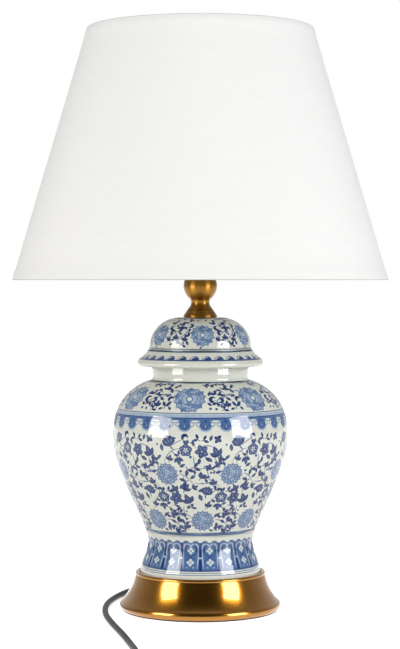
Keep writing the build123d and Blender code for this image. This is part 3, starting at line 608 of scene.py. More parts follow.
def dark_blossom(painting, turn, height, size, spin):
    """Blossom of pointed petals, painted solid, with a vein in each."""
    for n in range(5):
        angle = 90 + spin + 72 * n
        painting.dab(DEEP, turn, height, leaf(size, size * 0.72, angle, lean=1.2))
    for n in range(5):
        angle = 90 + spin + 72 * n
        spot = turned_by([(size * 0.3, 0)], angle)[0]
        painting.dab(MID, turn, height, leaf(size * 0.5, size * 0.12, angle, *spot, steps=4))
    painting.dab(WASH, turn, height, disc(size * 0.12, count=7))


def bud(painting, turn, height, size, spin):
    """Half-open bud: a fan of petals over a cup, with a stalk."""
    base = turned_by([(-size * 0.42, 0)], spin)[0]
    stalk = turned_by([(-size * 0.75, 0)], spin + 12)[0]
    painting.dab(DEEP, turn, height, stroke(base, base, stalk, size * 0.12))
    for side in (-36, 36, -18, 18, 0):
        reach = size * (1.0 - abs(side) * 0.004)
        painting.dab(DEEP, turn, height, leaf(reach, size * 0.48, spin + side, *base, lean=1.3))
    for side in (-26, 0, 26):
        spot = turned_by([(size * 0.3, 0)], spin + side, *base)[0]
        painting.dab(MID, turn, height, leaf(size * 0.42, size * 0.09, spin + side, *spot, steps=4))


# Small leaves: how far back their foot lies, and each blade's angle, length and width, as shares of the size.
SPRIGS = {
    "leaf": (0.5, ((0, 1.0, 0.5),)),
    "pair": (0.4, ((-38, 0.92, 0.42), (38, 0.86, 0.42), (170, 0.35, 0.14))),
    "trefoil": (0.42, ((-44, 0.78, 0.4), (44, 0.78, 0.4), (0, 1.0, 0.46), (180, 0.3, 0.12))),
    "cross": (0.0, ((45, 0.55, 0.4), (135, 0.5, 0.4), (225, 0.55, 0.4), (315, 0.5, 0.4))),
    "heart": (0.4, ((-26, 0.9, 0.56), (26, 0.9, 0.56), (180, 0.3, 0.12))),
}


def sprig(painting, kind, turn, height, spin, size):
    """Small leaf, curl or dot of the scroll, about its middle."""
    if kind == "dot":
        painting.dab(LINE, turn, height, disc(size, count=8))
        return
    if kind == "hook":
        painting.dab(DEEP, turn, height, comma(size * 1.15, spin))
        return
    back, blades = SPRIGS[kind]
    foot = turned_by([(-size * back, 0)], spin)[0]
    for angle, length, width in blades:
        painting.dab(DEEP, turn, height, leaf(size * length, size * width, spin + angle, *foot, steps=5))
    if kind in ("leaf", "trefoil", "heart"):
        vein = turned_by([(-size * 0.1, 0)], spin)[0]
        painting.dab(BLUE, turn, height, leaf(size * 0.4, size * 0.1, spin, *vein, steps=4))


def vine(painting, turn, height, points, width=0.9):
    """Thin stem between leaves; its points are degrees and mm from a motif's middle."""
    radius = painting.outline.at(painting.outline.mark(height))[0]
    start, pull, end = ((radians(x) * radius, y) for x, y in points)
    painting.dab(LINE, turn, height, stroke(start, pull, end, width))


# Each leaf is its kind, degrees and mm from the medallion's middle, direction and size in mm.
UPPER_LEAVES = (
    ("hook", 13.7, 37.0, 10, 7), ("leaf", 18.7, 31.6, -75, 6.5), ("pair", 26.8, 35.4, 20, 7),
    ("cross", 34.4, 35.4, 10, 9), ("leaf", -1.8, 27.0, -80, 8), ("hook", -7.2, 13.8, 60, 7),
    ("trefoil", 3.3, 16.5, 75, 7), ("trefoil", 9.2, 13.8, -80, 9), ("dot", 17.0, 17.8, 0, 1.6),
    ("leaf", 28.9, 15.2, -25, 8.5), ("pair", 37.7, 16.5, 50, 7.5), ("pair", 21.2, 7.9, 15, 8.5),
    ("cross", 28.7, 7.2, 15, 7.5), ("dot", 30.5, 2.0, 0, 1.3), ("pair", 15.8, 2.6, -60, 9),
    ("dot", 10.1, 3.3, 0, 1.5), ("heart", 24.5, -1.3, 60, 8.5), ("trefoil", 32.3, -7.8, 100, 8),
    ("dot", 24.6, -9.1, 0, 0.9), ("pair", 11.3, -7.8, 200, 8.5), ("trefoil", 13.1, -13.6, 60, 9.5),
    ("trefoil", 4.2, -14.3, 120, 8.5), ("leaf", 6.0, -19.0, -100, 7.5), ("trefoil", 19.5, -13.0, 30, 7),
    ("leaf", 24.2, -16.2, 20, 8), ("pair", 30.8, 7.9, 60, 6.5), ("dot", 32.4, 2.0, 0, 1.4),
    ("pair", 8.5, 21.0, 130, 6.5), ("pair", 20.5, 36.5, 150, 7), ("leaf", 22.6, 13.5, 80, 7),
    ("trefoil", 34.5, 10.5, 130, 7.5), ("leaf", 35.6, 2.5, 20, 7), ("pair", 28.0, -4.5, -20, 7),
    ("leaf", 18.2, -2.5, 40, 7), ("pair", 35.5, -14.0, 60, 7.5), ("leaf", 11.5, 9.0, 30, 7),
    ("leaf", 19.5, 2.5, 100, 6), ("pair", 0.5, -16.0, 30, 7), ("leaf", -4.0, 17.5, 40, 6.5),
    ("dot", 7.0, 36.5, 0, 1.2), ("dot", 40.0, 30.0, 0, 1.2), ("dot", 26.0, 8.0, 0, 1.0),
    ("leaf", 39.0, 11.0, 120, 6), ("leaf", 30.0, 36.5, 70, 6.5), ("leaf", 9.6, -12.5, 60, 6.5),
)
LOWER_LEAVES = (
    ("leaf", -1.8, 24.5, -70, 8.5), ("trefoil", 4.5, 17.0, 80, 7.5), ("trefoil", 12.0, 15.0, -90, 8.5),
    ("pair", -7.5, 15.0, 30, 6.5), ("pair", -17.4, 8.8, 20, 7), ("trefoil", -24.6, 7.5, 90, 8),
    ("dot", -13.8, 2.2, 0, 1.5), ("trefoil", -14.3, -5.5, 100, 7.5), ("leaf", -19.5, -7.0, -60, 6.5),
    ("leaf", -28.0, -7.5, -110, 6.5), ("leaf", 8.5, -10.3, -20, 5), ("pair", 15.0, -5.3, 60, 8),
    ("hook", 20.7, 4.5, 30, 6.5), ("leaf", 25.0, 12.5, 30, 6.5), ("heart", 24.5, 0.8, 50, 7.5),
    ("hook", 15.5, 6.0, 100, 6), ("dot", 23.5, -6.5, 0, 1.3), ("pair", 19.5, 11.0, 60, 7),
    ("leaf", 29.5, 6.0, 100, 6.5), ("pair", 29.5, -1.5, 70, 7), ("leaf", 18.5, -1.0, -40, 6.5),
    ("leaf", 11.5, 5.5, 60, 6), ("trefoil", 21.5, -10.5, 40, 7), ("leaf", 12.5, -8.5, -60, 6.5),
    ("pair", 27.0, -10.0, 130, 6.5), ("leaf", 8.0, 21.0, 140, 6), ("pair", 24.0, 17.0, 20, 6.5),
    ("leaf", 33.5, 14.5, 60, 6), ("dot", 31.5, 10.0, 0, 1.1), ("leaf", 17.0, 18.0, 30, 6),
)
UPPER_VINES = (
    ((11.1, 27.0), (2.6, 26.4), (-0.8, 12.5)), ((8.2, 0.7), (13.7, 0.7), (17.6, -10.4)),
    ((34.2, 2.6), (27.7, 9.9), (21.5, 4.6)), ((20.2, 19.8), (19.6, 13.8), (20.8, 9.2)),
    ((4.5, 23.7), (7.8, 23.1), (8.9, 16.5)), ((32.1, 5.3), (35.0, 2.6), (36.1, -0.7)),
    ((25.6, 28.3), (30.0, 32.2), (34.4, 27.7)), ((11.6, -0.7), (11.0, -13.0), (12.9, -18.7)),
    ((-8.4, -13.0), (-6.2, -24.4), (-11.5, -27.5)), ((30.1, -6.5), (26.4, 4.6), (30.9, 11.9)),
    ((16.0, 33.0), (21.0, 34.0), (22.0, 27.0)), ((24.0, 20.0), (29.0, 20.0), (31.0, 14.0)),
    ((33.5, 19.0), (36.5, 14.0), (36.0, 5.0)), ((18.0, -9.0), (26.0, -12.0), (33.0, -6.0)),
    ((27.5, -3.0), (31.0, -9.0), (36.0, -13.0)), ((6.0, 30.0), (9.0, 34.0), (13.0, 36.0)),
)
LOWER_VINES = (
    ((11.8, 23.3), (3.9, 24.5), (1.9, 11.8)), ((11.4, 1.1), (15.9, 2.2), (24.5, -6.8)),
    ((-15.6, 4.4), (-19.8, 6.7), (-25.7, 10.1)), ((-10.2, 4.4), (-13.6, 6.7), (-16.0, 8.9)),
    ((28.5, 15.4), (25.2, 8.9), (21.1, 5.0)), ((-21.2, -3.2), (-23.8, 5.0), (-18.1, 13.6)),
    ((2.8, 35.3), (6.3, 39.1), (10.8, 35.3)), ((16.0, 18.0), (19.0, 12.0), (25.0, 12.0)),
    ((33.0, 17.0), (30.0, 8.0), (30.5, -1.0)), ((12.5, -3.0), (17.0, -9.0), (27.0, -9.0)),
)
SHOULDER_LEAVES = (
    ("hook", 17.9, 7.0, 160, 7.5), ("hook", 17.8, 0.0, 60, 8), ("dot", 22.3, 4.6, 0, 1.6),
    ("dot", 31.5, 4.4, 0, 1.4), ("trefoil", 27.5, -4.2, 90, 8), ("pair", 34.5, -4.2, 80, 8.5),
    ("dot", 23.2, -6.4, 0, 1.8), ("dot", 15.0, -8.6, 0, 1.5), ("dot", 19.1, -9.0, 0, 1.5),
    ("hook", 21.3, 12.5, 20, 7), ("hook", 28.4, 11.2, 200, 7.5), ("leaf", 37.5, 11.5, 60, 7),
    ("dot", -2.0, -10.8, 0, 1.3), ("leaf", 34.0, 3.6, 30, 6.5), ("hook", 26.0, 5.6, 110, 7),
    ("hook", 22.6, -0.6, 250, 7), ("hook", 32.6, 8.2, 310, 6.5), ("leaf", 29.5, 0.6, -40, 7),
    ("hook", 37.4, 0.2, 20, 6.5), ("leaf", 13.4, 12.2, 110, 6), ("hook", 33.0, 13.4, 80, 6),
    ("leaf", 37.8, -8.4, 130, 5.5), ("leaf", 31.0, -8.8, 20, 5.5), ("hook", 17.0, 13.8, 60, 6),
    ("leaf", 14.8, 5.2, 80, 6), ("leaf", 14.6, -4.4, 140, 6), ("pair", 19.4, -4.6, 250, 7),
    ("leaf", 23.8, 8.8, 150, 6), ("hook", 25.2, 13.4, 330, 6), ("leaf", 30.4, 14.2, 20, 6),
    ("leaf", 35.6, 7.8, 100, 6), ("pair", 25.6, -8.6, 30, 6.5), ("leaf", 36.8, -3.2, 30, 6),
    ("leaf", 40.0, 12.8, 120, 6), ("hook", 12.0, 14.0, 200, 5.5), ("leaf", 20.6, 8.0, 20, 5.5),
)
SHOULDER_VINES = (
    ((36.5, 12.7), (25.6, 1.6), (14.5, -4.2)), ((35.0, -2.3), (39.7, 5.1), (37.2, 9.1)),
    ((36.5, 3.4), (24.2, 9.7), (23.7, 2.1)), ((30.0, -7.0), (24.0, -2.0), (17.0, -5.0)),
    ((14.0, 8.0), (19.0, 17.0), (26.0, 8.0)), ((16.0, -1.0), (22.0, -10.0), (30.0, -3.0)),
    ((31.0, 11.0), (36.0, 15.0), (39.0, 9.0)),
)
LID_LEAVES = (
    ("hook", 28.8, 11.8, 200, 6.5), ("hook", 36.5, 10.8, 20, 6.5), ("hook", 43.6, 9.1, 250, 6),
    ("hook", 19.6, 7.0, 90, 6.5), ("hook", 22.8, 2.0, 40, 6.5), ("trefoil", 18.4, -4.0, 60, 6),
    ("trefoil", 27.4, -2.0, 90, 6.5), ("dot", 29.8, -7.2, 0, 1.3), ("pair", 34.4, -7.6, 80, 6.5),
    ("hook", 35.4, 5.4, 20, 6.5), ("dot", 33.3, 1.0, 0, 1.3), ("hook", 41.0, 1.1, 200, 6),
    ("trefoil", 38.9, -3.8, 80, 6.5), ("leaf", 42.3, -8.0, -60, 5.5), ("hook", 44.7, 13.4, 10, 5.5),
    ("hook", 14.5, 12.5, 170, 5.5), ("dot", -2.4, -12.8, 0, 1.2), ("hook", 28.5, 5.4, 300, 6),
    ("leaf", 22.0, -9.4, 20, 5), ("hook", 21.6, 13.8, 60, 5.5), ("leaf", 25.0, 9.0, 150, 5),
    ("leaf", 32.0, 8.4, 60, 5), ("leaf", 24.2, -5.2, 330, 5), ("leaf", 31.2, 2.6, 130, 5),
    ("leaf", 38.2, 7.0, 130, 5), ("pair", 38.0, -9.6, 20, 5.5), ("hook", 30.0, 15.6, 120, 5),
    ("hook", 38.5, 15.0, 300, 5), ("leaf", 18.0, 11.0, 40, 5), ("leaf", 43.8, 4.8, 70, 5),
    ("leaf", 7.0, 14.2, 60, 4.5), ("leaf", -7.0, 14.2, 120, 4.5),
)
LID_VINES = (
    ((38.5, 10.8), (25.1, 3.0), (15.4, -3.0)), ((41.9, 4.8), (35.6, -3.2), (27.7, -7.1)),
    ((40.2, 9.0), (36.3, 0.9), (43.5, -5.9)),
)
FIELD_RINGS = ((1.0, 15, 0.0, 0.6), (0.74, 12, 0.5, 0.7), (0.48, 7, 0.0, 0.8))
SCROLL_RINGS = ((1.0, 14, 0.0, 0.9), (0.76, 11, 0.5, 0.7), (0.52, 6, 0.0, 0.55))


def paint_scroll(zone, turn, height, leaves, vines, width=0.9):
    """Stems, then the leaves over them, round a medallion's middle."""
    for points in vines:
        vine(zone, turn, height, points, width)
    for kind, x, y, spin, length in leaves:
        sprig(zone, kind, turn + x, height + y, spin, length)


def paint_field(outline):
    """Body of the jar: two tiers of medallions, blossoms, buds and leaves on the bare ground."""
    start = -45.8
    zone = Painting(outline, 81.0, 188.2, 8, 18, start)
    zone.band(MID, 85.0, 86.1)
    zone.band(BLUE, 82.4, 84.6)
    tiers = (
        (-23.3 - start, 147.2, UPPER_LEAVES, UPPER_VINES, 12.4, (3.0, 32.8, 12.6, 110)),
        (2.0 - start - 45, 98.9, LOWER_LEAVES, LOWER_VINES, 12.2, (2.9, 30.8, 11.0, 70)),
    )
    for turn, height, leaves, vines, _, _ in tiers:
        paint_scroll(zone, turn, height, leaves, vines)
    for turn, height, _, _, size, (x, y, length, spin) in tiers:
        lotus(zone, turn, height, size, FIELD_RINGS, LINE, MID, WASH)
        bud(zone, turn + x, height + y, length, spin)
        blossom(zone, turn + 14.0, height + 24.6, 6.8, 0)
        sprig(zone, "heart", turn + 14.2, height + 32.6, 95, 6.0)
        dark_blossom(zone, turn + 24.2, height + 23.4, 7.4, 24)
        sprig(zone, "trefoil", turn + 33.4, height + 22.6, 115, 12.0)
    return zone


def paint_clouds(outline):
    """Hanging cloud border: a dark band with rounded pendants between pale curls."""
    count = 27
    pitch = 360 / count
    zone = Painting(outline, 188.6, 208.6, count, 6, 3.3 - pitch / 2)
    middle = pitch / 2
    drop = 195.6
    curl = 196.9
    zone.band(LINE, 207.4, 208.2)
    zone.band(WASH, 203.9, 206.9)
    zone.dab(WASH, middle, 195.4, oval(6.9, 6.0))
    zone.dab(WASH, middle, 199.6, [(-8.6, 3.0), (-5.0, -3.0), (5.0, -3.0), (8.6, 3.0)])
    for side in (-1, 1):
        zone.dab(MID, middle, curl, disc(2.7, side * 7.0, 0.5, 12))
        zone.dab(WASH, middle, curl, disc(2.1, side * 7.1, 0.4, 10))
        zone.dab(GROUND, middle, curl, disc(1.1, side * 7.2, 0.4, 8))
    zone.band(BLUE, 201.2, 203.9)
    zone.band(LINE, 202.8, 203.9)
    neck = [(7.0, 2.6), (5.2, 0.4), (4.6, -3.0)]
    zone.dab(BLUE, middle, 199.4, [(-x, y) for x, y in neck] + neck[::-1])
    zone.dab(LINE, middle, drop + 0.2, oval(5.6, 4.6))
    zone.dab(BLUE, middle, drop + 0.2, oval(4.8, 3.8))
    for side in (-1, 1):
        zone.dab(LINE, middle, drop, leaf(5.0, 3.0, 90 - side * 62, side * 0.5, -1.6, blunt=0.7))
        zone.dab(MID, middle, drop, leaf(2.4, 1.0, 90 - side * 30, side * 2.6, -1.9))
    zone.dab(LINE, middle, 199.4, leaf(4.2, 3.4, -90, 0, 3.2, blunt=0.7))
    zone.dab(WASH, middle, 195.2, disc(0.8, count=8))
    zone.dab(MID, 0, 199.0, disc(0.8, count=7))
    return zone


def paint_shoulder(outline):
    """Shoulder: pale lotus medallions in a dense scroll of dark curled leaves, under a line."""
    count = 7
    zone = Painting(outline, 209.0, SHOULDER[1] - 0.2, count, 22, -8.0 - 180 / count)
    middle = 180 / count
    height = 221.6
    paint_scroll(zone, middle, height - 0.6, SHOULDER_LEAVES, SHOULDER_VINES, 1.0)
    lotus(zone, middle, height, 17.2, SCROLL_RINGS, BLUE, WASH, MID)
    zone.dab(GROUND, middle, height, disc(2.4, count=10))
    zone.band(LINE, SHOULDER[1] - 1.5, SHOULDER[1] - 0.4)
    return zone


def paint_foot(outline):
    """Foot band: upright panels with arched frames and two blossoms each, between lines."""
    zone = Painting(outline, JAR_Z + FOOT_HEIGHT, 80.6, 18, 8, 0.0)
    centre, height = 10, 62.0
    zone.band(MID, 43.3, 44.1)
    zone.band(MID, 45.3, 46.0)
    zone.band(BLUE, 47.2, 75.6)
    for side in (-1, 1):
        zone.dab(LINE, centre, 74.6, disc(4.0, side * 4.9, -0.9, 14))
        zone.dab(BLUE, centre, 74.0, disc(3.6, side * 4.9, -1.1, 14))
    zone.band(LINE, 47.2, 48.6)
    zone.dab(DEEP, 0, height, [(-1.5, -14.6), (1.5, -14.6), (1.2, 13.8), (-1.2, 13.8)])
    for side in (-1, 1):
        for start, pull, end in (
            ((-7.3, -13.0), (-7.7, -4.0), (-7.6, 7.0)), ((-7.6, 6.4), (-7.6, 13.0), (-3.4, 12.5)),
            ((-3.8, 12.6), (-0.6, 12.6), (-0.1, 8.8)),
        ):
            flip = [(side * x, y) for x, y in (start, pull, end)]
            zone.dab(WASH, centre, height, stroke(*flip, 1.5))
        zone.dab(WASH, centre, height, leaf(3.2, 2.0, 90 - side * 90 - side * 25, side * 7.4, -1.2))
        zone.dab(DEEP, centre, height, stroke((side * 5.6, 3.6), (side * 5.9, 10.6), (side * 2.4, 10.2), 1.9))
        zone.dab(LINE, centre, height, stroke((side * 5.4, 2.6), (0, -0.6), (-side * 5.4, -4.6), 1.5))
        zone.dab(WASH, centre, height, leaf(2.6, 1.3, 90 - side * 75, side * 2.0, -12.0))
    for rise, size in ((5.4, 3.9), (-6.4, 4.3)):
        for n in range(4):
            zone.dab(WASH, centre, height, leaf(size, size * 0.86, 90 * n, 0, rise, blunt=0.8))
        for n in range(4):
            zone.dab(GROUND, centre, height, leaf(size * 0.82, size * 0.45, 90 * n, 0, rise, blunt=0.8))
        zone.dab(MID, centre, height, disc(1.0, 0, rise, 8))
    return zone


def paint_lid_border(outline):
    """Flange of the lid: leaning dark scallops on a line."""
    count = 30
    zone = Painting(outline, LID_EDGE[1] + 0.3, 265.8, count, 5, 0.0)
    middle = 180 / count
    foot = 259.4
    zone.dab(LINE, middle, foot, oval(5.2, 6.4, 11, 10, lean=0.7))
    zone.dab(GROUND, middle, foot, stroke((-3.7, 0.2), (-3.3, 4.7), (1.3, 5.0), 1.3))
    zone.dab(DEEP, middle, foot, oval(2.9, 3.7, 9, shift=1.2))
    zone.band(LINE, LID_EDGE[1] + 0.3, foot + 0.5)
    return zone


def paint_lid(outline):
    """Dome of the lid: double line, pale lotus medallions and a dense scroll up to the crown."""
    count = 6
    zone = Painting(outline, 266.2, LID_HIGH.z - 0.25, count, 25, 2.7 - 180 / count)
    middle = 180 / count
    zone.band(BLUE, 266.6, 268.2)
    zone.band(WASH, 269.3, 270.3)
    height = 284.5
    paint_scroll(zone, middle, height, LID_LEAVES, LID_VINES)
    lotus(zone, middle, height, 12.9, SCROLL_RINGS, BLUE, WASH, MID)
    zone.dab(GROUND, middle, height, disc(1.9, count=10))
    zone.band(MID, LID_HIGH.z - 1.0, LID_HIGH.z - 0.6)
    return zone


# ---------------------------------------------------------------- Materials


def vary_tone(tree, code, source, surface, low, high, **limits):
    """Lightens and darkens a colour by a source between two shares."""
    shares = {"Value": source, "To Min": low, "To Max": high}
    for name, value in limits.items():
        shares[name.replace("_", " ")] = value
    share = add_node(tree, "ShaderNodeMapRange", shares)
    toned = {"Color": linear(code), "Value": share.outputs[0]}
    add_node(tree, "ShaderNodeHueSaturation", toned, surface.inputs["Base Color"])


def glaze_materials():
    """Underglaze cobalt on porcelain, one material a tone, all under the same clear glaze.

    The thick glaze gives every colour the same wet gloss, a slow ripple that bends the highlights,
    and brushed tones that come out lighter and darker from stroke to stroke."""
    settings = bpy.context.scene.lamp.glaze
    made = []
    for tone in ("ground", "wash", "mid", "blue", "line", "deep"):
        code = getattr(settings, tone)
        material, tree, surface = new_material(
            "Glazed porcelain, " + tone, code, Roughness=0.05, IOR=1.52
        )
        place = add_node(tree, "ShaderNodeTexCoord").outputs["Object"]
        ripple = add_node(tree, "ShaderNodeTexNoise", {"Vector": place, "Scale": 45.0, "Detail": 1.0})
        bend_light = {"Height": ripple.outputs[0], "Distance": settings.ripple}
        add_node(tree, "ShaderNodeBump", bend_light, surface.inputs["Normal"])
        # Brush strokes about 3 mm across.
        brush = add_node(tree, "ShaderNodeTexNoise", {"Vector": place, "Scale": 330.0, "Detail": 3.0})
        low, high = (0.97, 1.03) if tone == "ground" else (0.7, 1.35)
        vary_tone(tree, code, brush.outputs[0], surface, low, high)
        made.append(material)
    return made


def brass_material(name, code, roughness, smear, lacquer):
    """Lacquered brass, spun or turned on a lathe: its fine rings smear each highlight up and down."""
    settings = bpy.context.scene.lamp.brass
    material, tree, surface = new_material(
        name, code, Metallic=1.0, Roughness=roughness, Anisotropic=smear, Anisotropic_Rotation=0.25,
        Coat_Weight=lacquer, Coat_Roughness=0.06,
    )
    add_node(tree, "ShaderNodeTangent", None, surface.inputs["Tangent"], direction_type="RADIAL", axis="Z")
    place = add_node(tree, "ShaderNodeTexCoord").outputs["Object"]
    stretch = add_node(
        tree, "ShaderNodeMapping", {"Vector": place, "Scale": (3, 3, 1 / settings.spin_pitch)}
    )
    rings = add_node(tree, "ShaderNodeTexNoise", {"Vector": stretch.outputs[0], "Scale": 1.0, "Detail": 3.0})
    grooves = {"Height": rings.outputs[0], "Distance": 0.00001}
    add_node(tree, "ShaderNodeBump", grooves, surface.inputs["Normal"])
    # Tarnish under the lacquer, in clouds about 3 cm across.
    cloud = add_node(tree, "ShaderNodeTexNoise", {"Vector": place, "Scale": 30.0, "Detail": 3.0})
    vary_tone(tree, code, cloud.outputs[0], surface, 0.85, 1.1)
    return material


def linen_material():
    """Plain woven linen on a white liner: matt white with a soft sheen, threads and slubs.

    The threads are drawn 0.9 mm apart, about twice as coarse as the real ones, so that they show."""
    settings = bpy.context.scene.lamp.shade
    material, tree, surface = new_material(
        "Woven white linen", settings.cloth, Roughness=0.85, Sheen_Weight=0.1, Sheen_Roughness=0.5
    )
    place = add_node(tree, "ShaderNodeTexCoord").outputs["Object"]
    pitch = 1 / settings.thread
    heights = []
    for scale in ((pitch, pitch, 30.0), (50.0, 50.0, pitch)):
        stretch = add_node(tree, "ShaderNodeMapping", {"Vector": place, "Scale": scale})
        threads = add_node(
            tree, "ShaderNodeTexNoise", {"Vector": stretch.outputs[0], "Scale": 1.0, "Detail": 2.0}
        )
        heights.append(threads.outputs[0])
    weave = add_node(tree, "ShaderNodeMath", {0: heights[0], 1: heights[1]}, operation="ADD")
    raised = {"Height": weave.outputs[0], "Distance": 0.00007, "Strength": 0.7}
    add_node(tree, "ShaderNodeBump", raised, surface.inputs["Normal"])
    vary_tone(tree, settings.cloth, weave.outputs[0], surface, 0.955, 1.01, From_Min=0.6, From_Max=1.4)
    return material


def fine_surface(name, code, roughness, grain, depth, uneven=0.08, **shader):
    """A moulded, cast, coated or woven surface: a grain of a real size, and gloss and tone that vary."""
    material, tree, surface = new_material(name, code, Roughness=roughness, **shader)
    place = add_node(tree, "ShaderNodeTexCoord").outputs["Object"]
    grains = add_node(tree, "ShaderNodeTexNoise", {"Vector": place, "Scale": 1 / grain, "Detail": 2.0})
    relief = {"Height": grains.outputs[0], "Distance": depth}
    add_node(tree, "ShaderNodeBump", relief, surface.inputs["Normal"])
    wear = add_node(tree, "ShaderNodeTexNoise", {"Vector": place, "Scale": 60.0, "Detail": 4.0})
    gloss = {"Value": wear.outputs[0], "To Min": roughness * 0.8, "To Max": min(1.0, roughness * 1.25)}
    add_node(tree, "ShaderNodeMapRange", gloss, surface.inputs["Roughness"])
    vary_tone(tree, code, grains.outputs[0], surface, 1 - uneven, 1 + uneven)
    return material


# ---------------------------------------------------------------- Operators


class LAMP_OT_stage(bpy.types.Operator):
    """Camera at the photograph's angle, pale floor, two soft boxes and a white room"""

    bl_idname = "lamp.stage"
    bl_label = "Stage"

    def execute(self, context):
        eye_height = 0.3401
        distance = 1.9665
        camera = bpy.data.cameras.new("camera")
        camera.sensor_width = 36.0
        camera.lens = 105.4
        camera.shift_x = -0.0005
        camera.shift_y = -0.0686
        view = new_object("camera", camera)
        view.location = (0, -distance, eye_height)
        view.rotation_euler = (radians(90), 0, 0)
        context.scene.camera = view
        context.scene.view_settings.view_transform = "Standard"

        bpy.ops.mesh.primitive_plane_add(size=12.0, location=(0, 0, 0))
        floor = context.active_object
        floor.name = "floor"
        material, tree, surface = new_material("Seamless white paper", "F4F4F4", Roughness=0.9)
        path = add_node(tree, "ShaderNodeLightPath")
        # The paper shows white to the camera, and near the lamp it keeps the lamp's shadow.
        place = add_node(tree, "ShaderNodeTexCoord")
        away = add_node(tree, "ShaderNodeVectorMath", {0: place.outputs["Object"]}, operation="LENGTH")
        lift = add_node(
            tree, "ShaderNodeMapRange",
            {"Value": away.outputs["Value"], "From Min": 0.2, "From Max": 0.7, "To Min": 0.76, "To Max": 1.0},
        )
        seen = path.outputs["Is Camera Ray"]
        for ray in ("Is Glossy Ray", "Is Transmission Ray"):
            seen = add_node(
                tree, "ShaderNodeMath", {0: seen, 1: path.outputs[ray]}, operation="MAXIMUM"
            ).outputs[0]
        share = add_node(tree, "ShaderNodeMath", {0: seen, 1: lift.outputs[0]}, operation="MULTIPLY")
        glow = add_node(tree, "ShaderNodeEmission", {"Color": (1, 1, 1, 1), "Strength": share.outputs[0]})
        both = add_node(tree, "ShaderNodeAddShader", {0: surface.outputs[0], 1: glow.outputs[0]})
        tree.links.new(both.outputs[0], tree.nodes["Material Output"].inputs["Surface"])
        give(floor, material)

        # The left box is the weaker and warmer one, so the shade falls off to the left. Each box has a
        # brighter copy just in front of it that only shows as a highlight in the glaze and the brass.
        target = Vector((0, 0, 0.36))
        box_size = 0.6, 0.72
        for side, power, colour in ((-1, 3.1, (1.0, 0.97, 0.91)), (1, 4.0, (1.0, 1.0, 1.0))):
            for name, energy, nearness in (("soft box", power, 0.0), ("soft box highlight", 11.0, 0.015)):
                data = bpy.data.lights.new(name, "AREA")
                data.shape = "RECTANGLE"
                data.size, data.size_y = box_size
                data.energy = energy
                data.color = colour
                lamp = new_object(name, data)
                place = Vector((side * 0.98, -0.69, 0.49))
                lamp.location = place.lerp(target, nearness)
                lamp.rotation_euler = (target - place).to_track_quat("-Z", "Y").to_euler()
                lamp.visible_diffuse = energy == power

        world = bpy.data.worlds.new("white room")
        context.scene.world = world
        world.use_nodes = True
        tree = world.node_tree
        back = tree.nodes["Background"]
        place = add_node(tree, "ShaderNodeTexCoord")
        parts = add_node(tree, "ShaderNodeSeparateXYZ", {0: place.outputs["Generated"]})
        # Shiny surfaces see a room that is white behind and dark in front, where the camera stands.
        room = add_node(
            tree, "ShaderNodeMapRange",
            {"Value": parts.outputs["Y"], "From Min": -0.55, "From Max": 0.95, "To Min": 0.03,
             "To Max": 0.62},
        )
        # The fill is strongest from the front and fades to the back.
        front = add_node(
            tree, "ShaderNodeMapRange",
            {"Value": parts.outputs["Y"], "From Min": -1.0, "From Max": 1.0, "To Min": 0.99, "To Max": 0.02},
        )
        path = add_node(tree, "ShaderNodeLightPath")
        shiny = add_node(
            tree, "ShaderNodeMath",
            {0: path.outputs["Is Glossy Ray"], 1: path.outputs["Is Transmission Ray"]}, operation="MAXIMUM",
        )
        fill = add_node(
            tree, "ShaderNodeMix", {"Factor": shiny.outputs[0], "A": front.outputs[0], "B": room.outputs[0]}
        )
        level = add_node(
            tree, "ShaderNodeMix",
            {"Factor": path.outputs["Is Camera Ray"], "A": fill.outputs["Result"], "B": 1.0},
        )
        tree.links.new(level.outputs["Result"], back.inputs["Strength"])
        back.inputs["Color"].default_value = (1, 1, 1, 1)
        return {"FINISHED"}


def heading(angle):
    """Step on the table at an angle from +X."""
    return Vector((cos(radians(angle)), sin(radians(angle)), 0))


SWITCH_INLET = Vector((-48.5, -317.0, 8.0))
SWITCH_HEADING = -80.0
SWITCH_LENGTH = 58.0
SWITCH_OUTLET = SWITCH_INLET + SWITCH_LENGTH * heading(SWITCH_HEADING)
PLUG_ENTRY = Vector((105.0, -397.0, 6.9))
PLUG_HEADING = 30.58
COIL_CENTRE = Vector((23.0, -375.0, 4.4))
COIL_OUTER = 45.5
COIL_STEP = 3.9
COIL_RISE = 6.6
COIL_POINTS = 16
GLAND_TIP = Vector((0, 101.2, 9.0))


def coil_points():
    """Spare cord: half turns that draw in below, climb, and open out again above."""
    outward = 1 / cos(pi / COIL_POINTS)
    points = []
    for n in range(5 * COIL_POINTS + 1):
        half_turns = 2 * n / COIL_POINTS
        if half_turns <= 5:
            radius = COIL_OUTER - COIL_STEP * half_turns
        else:
            radius = COIL_OUTER - COIL_STEP * 5 + COIL_STEP * max(0.0, half_turns - 6)
        climb = min(1.0, max(0.0, half_turns - 5))
        angle = pi * half_turns - pi / 2
        lift = COIL_RISE * climb * climb * (3 - 2 * climb)
        reach = radius * outward
        points.append(COIL_CENTRE + Vector((reach * cos(angle), reach * sin(angle), lift)))
    return points


def cord_curve(name, points, material):
    """Round cord: one NURBS line with the route's points in mm as its control points."""
    curve = bpy.data.curves.new(name, "CURVE")
    curve.dimensions = "3D"
    curve.bevel_depth = bpy.context.scene.lamp.cord.radius
    curve.bevel_resolution = 5
    curve.resolution_u = 10
    curve.use_fill_caps = True
    line = curve.splines.new("NURBS")
    line.points.add(len(points) - 1)
    for point, spot in zip(line.points, points):
        point.co = (*(Vector(spot) * MM), 1.0)
    line.order_u = 3
    line.use_endpoint_u = True
    cord = new_object(name, curve)
    give(cord, material)
    return cord


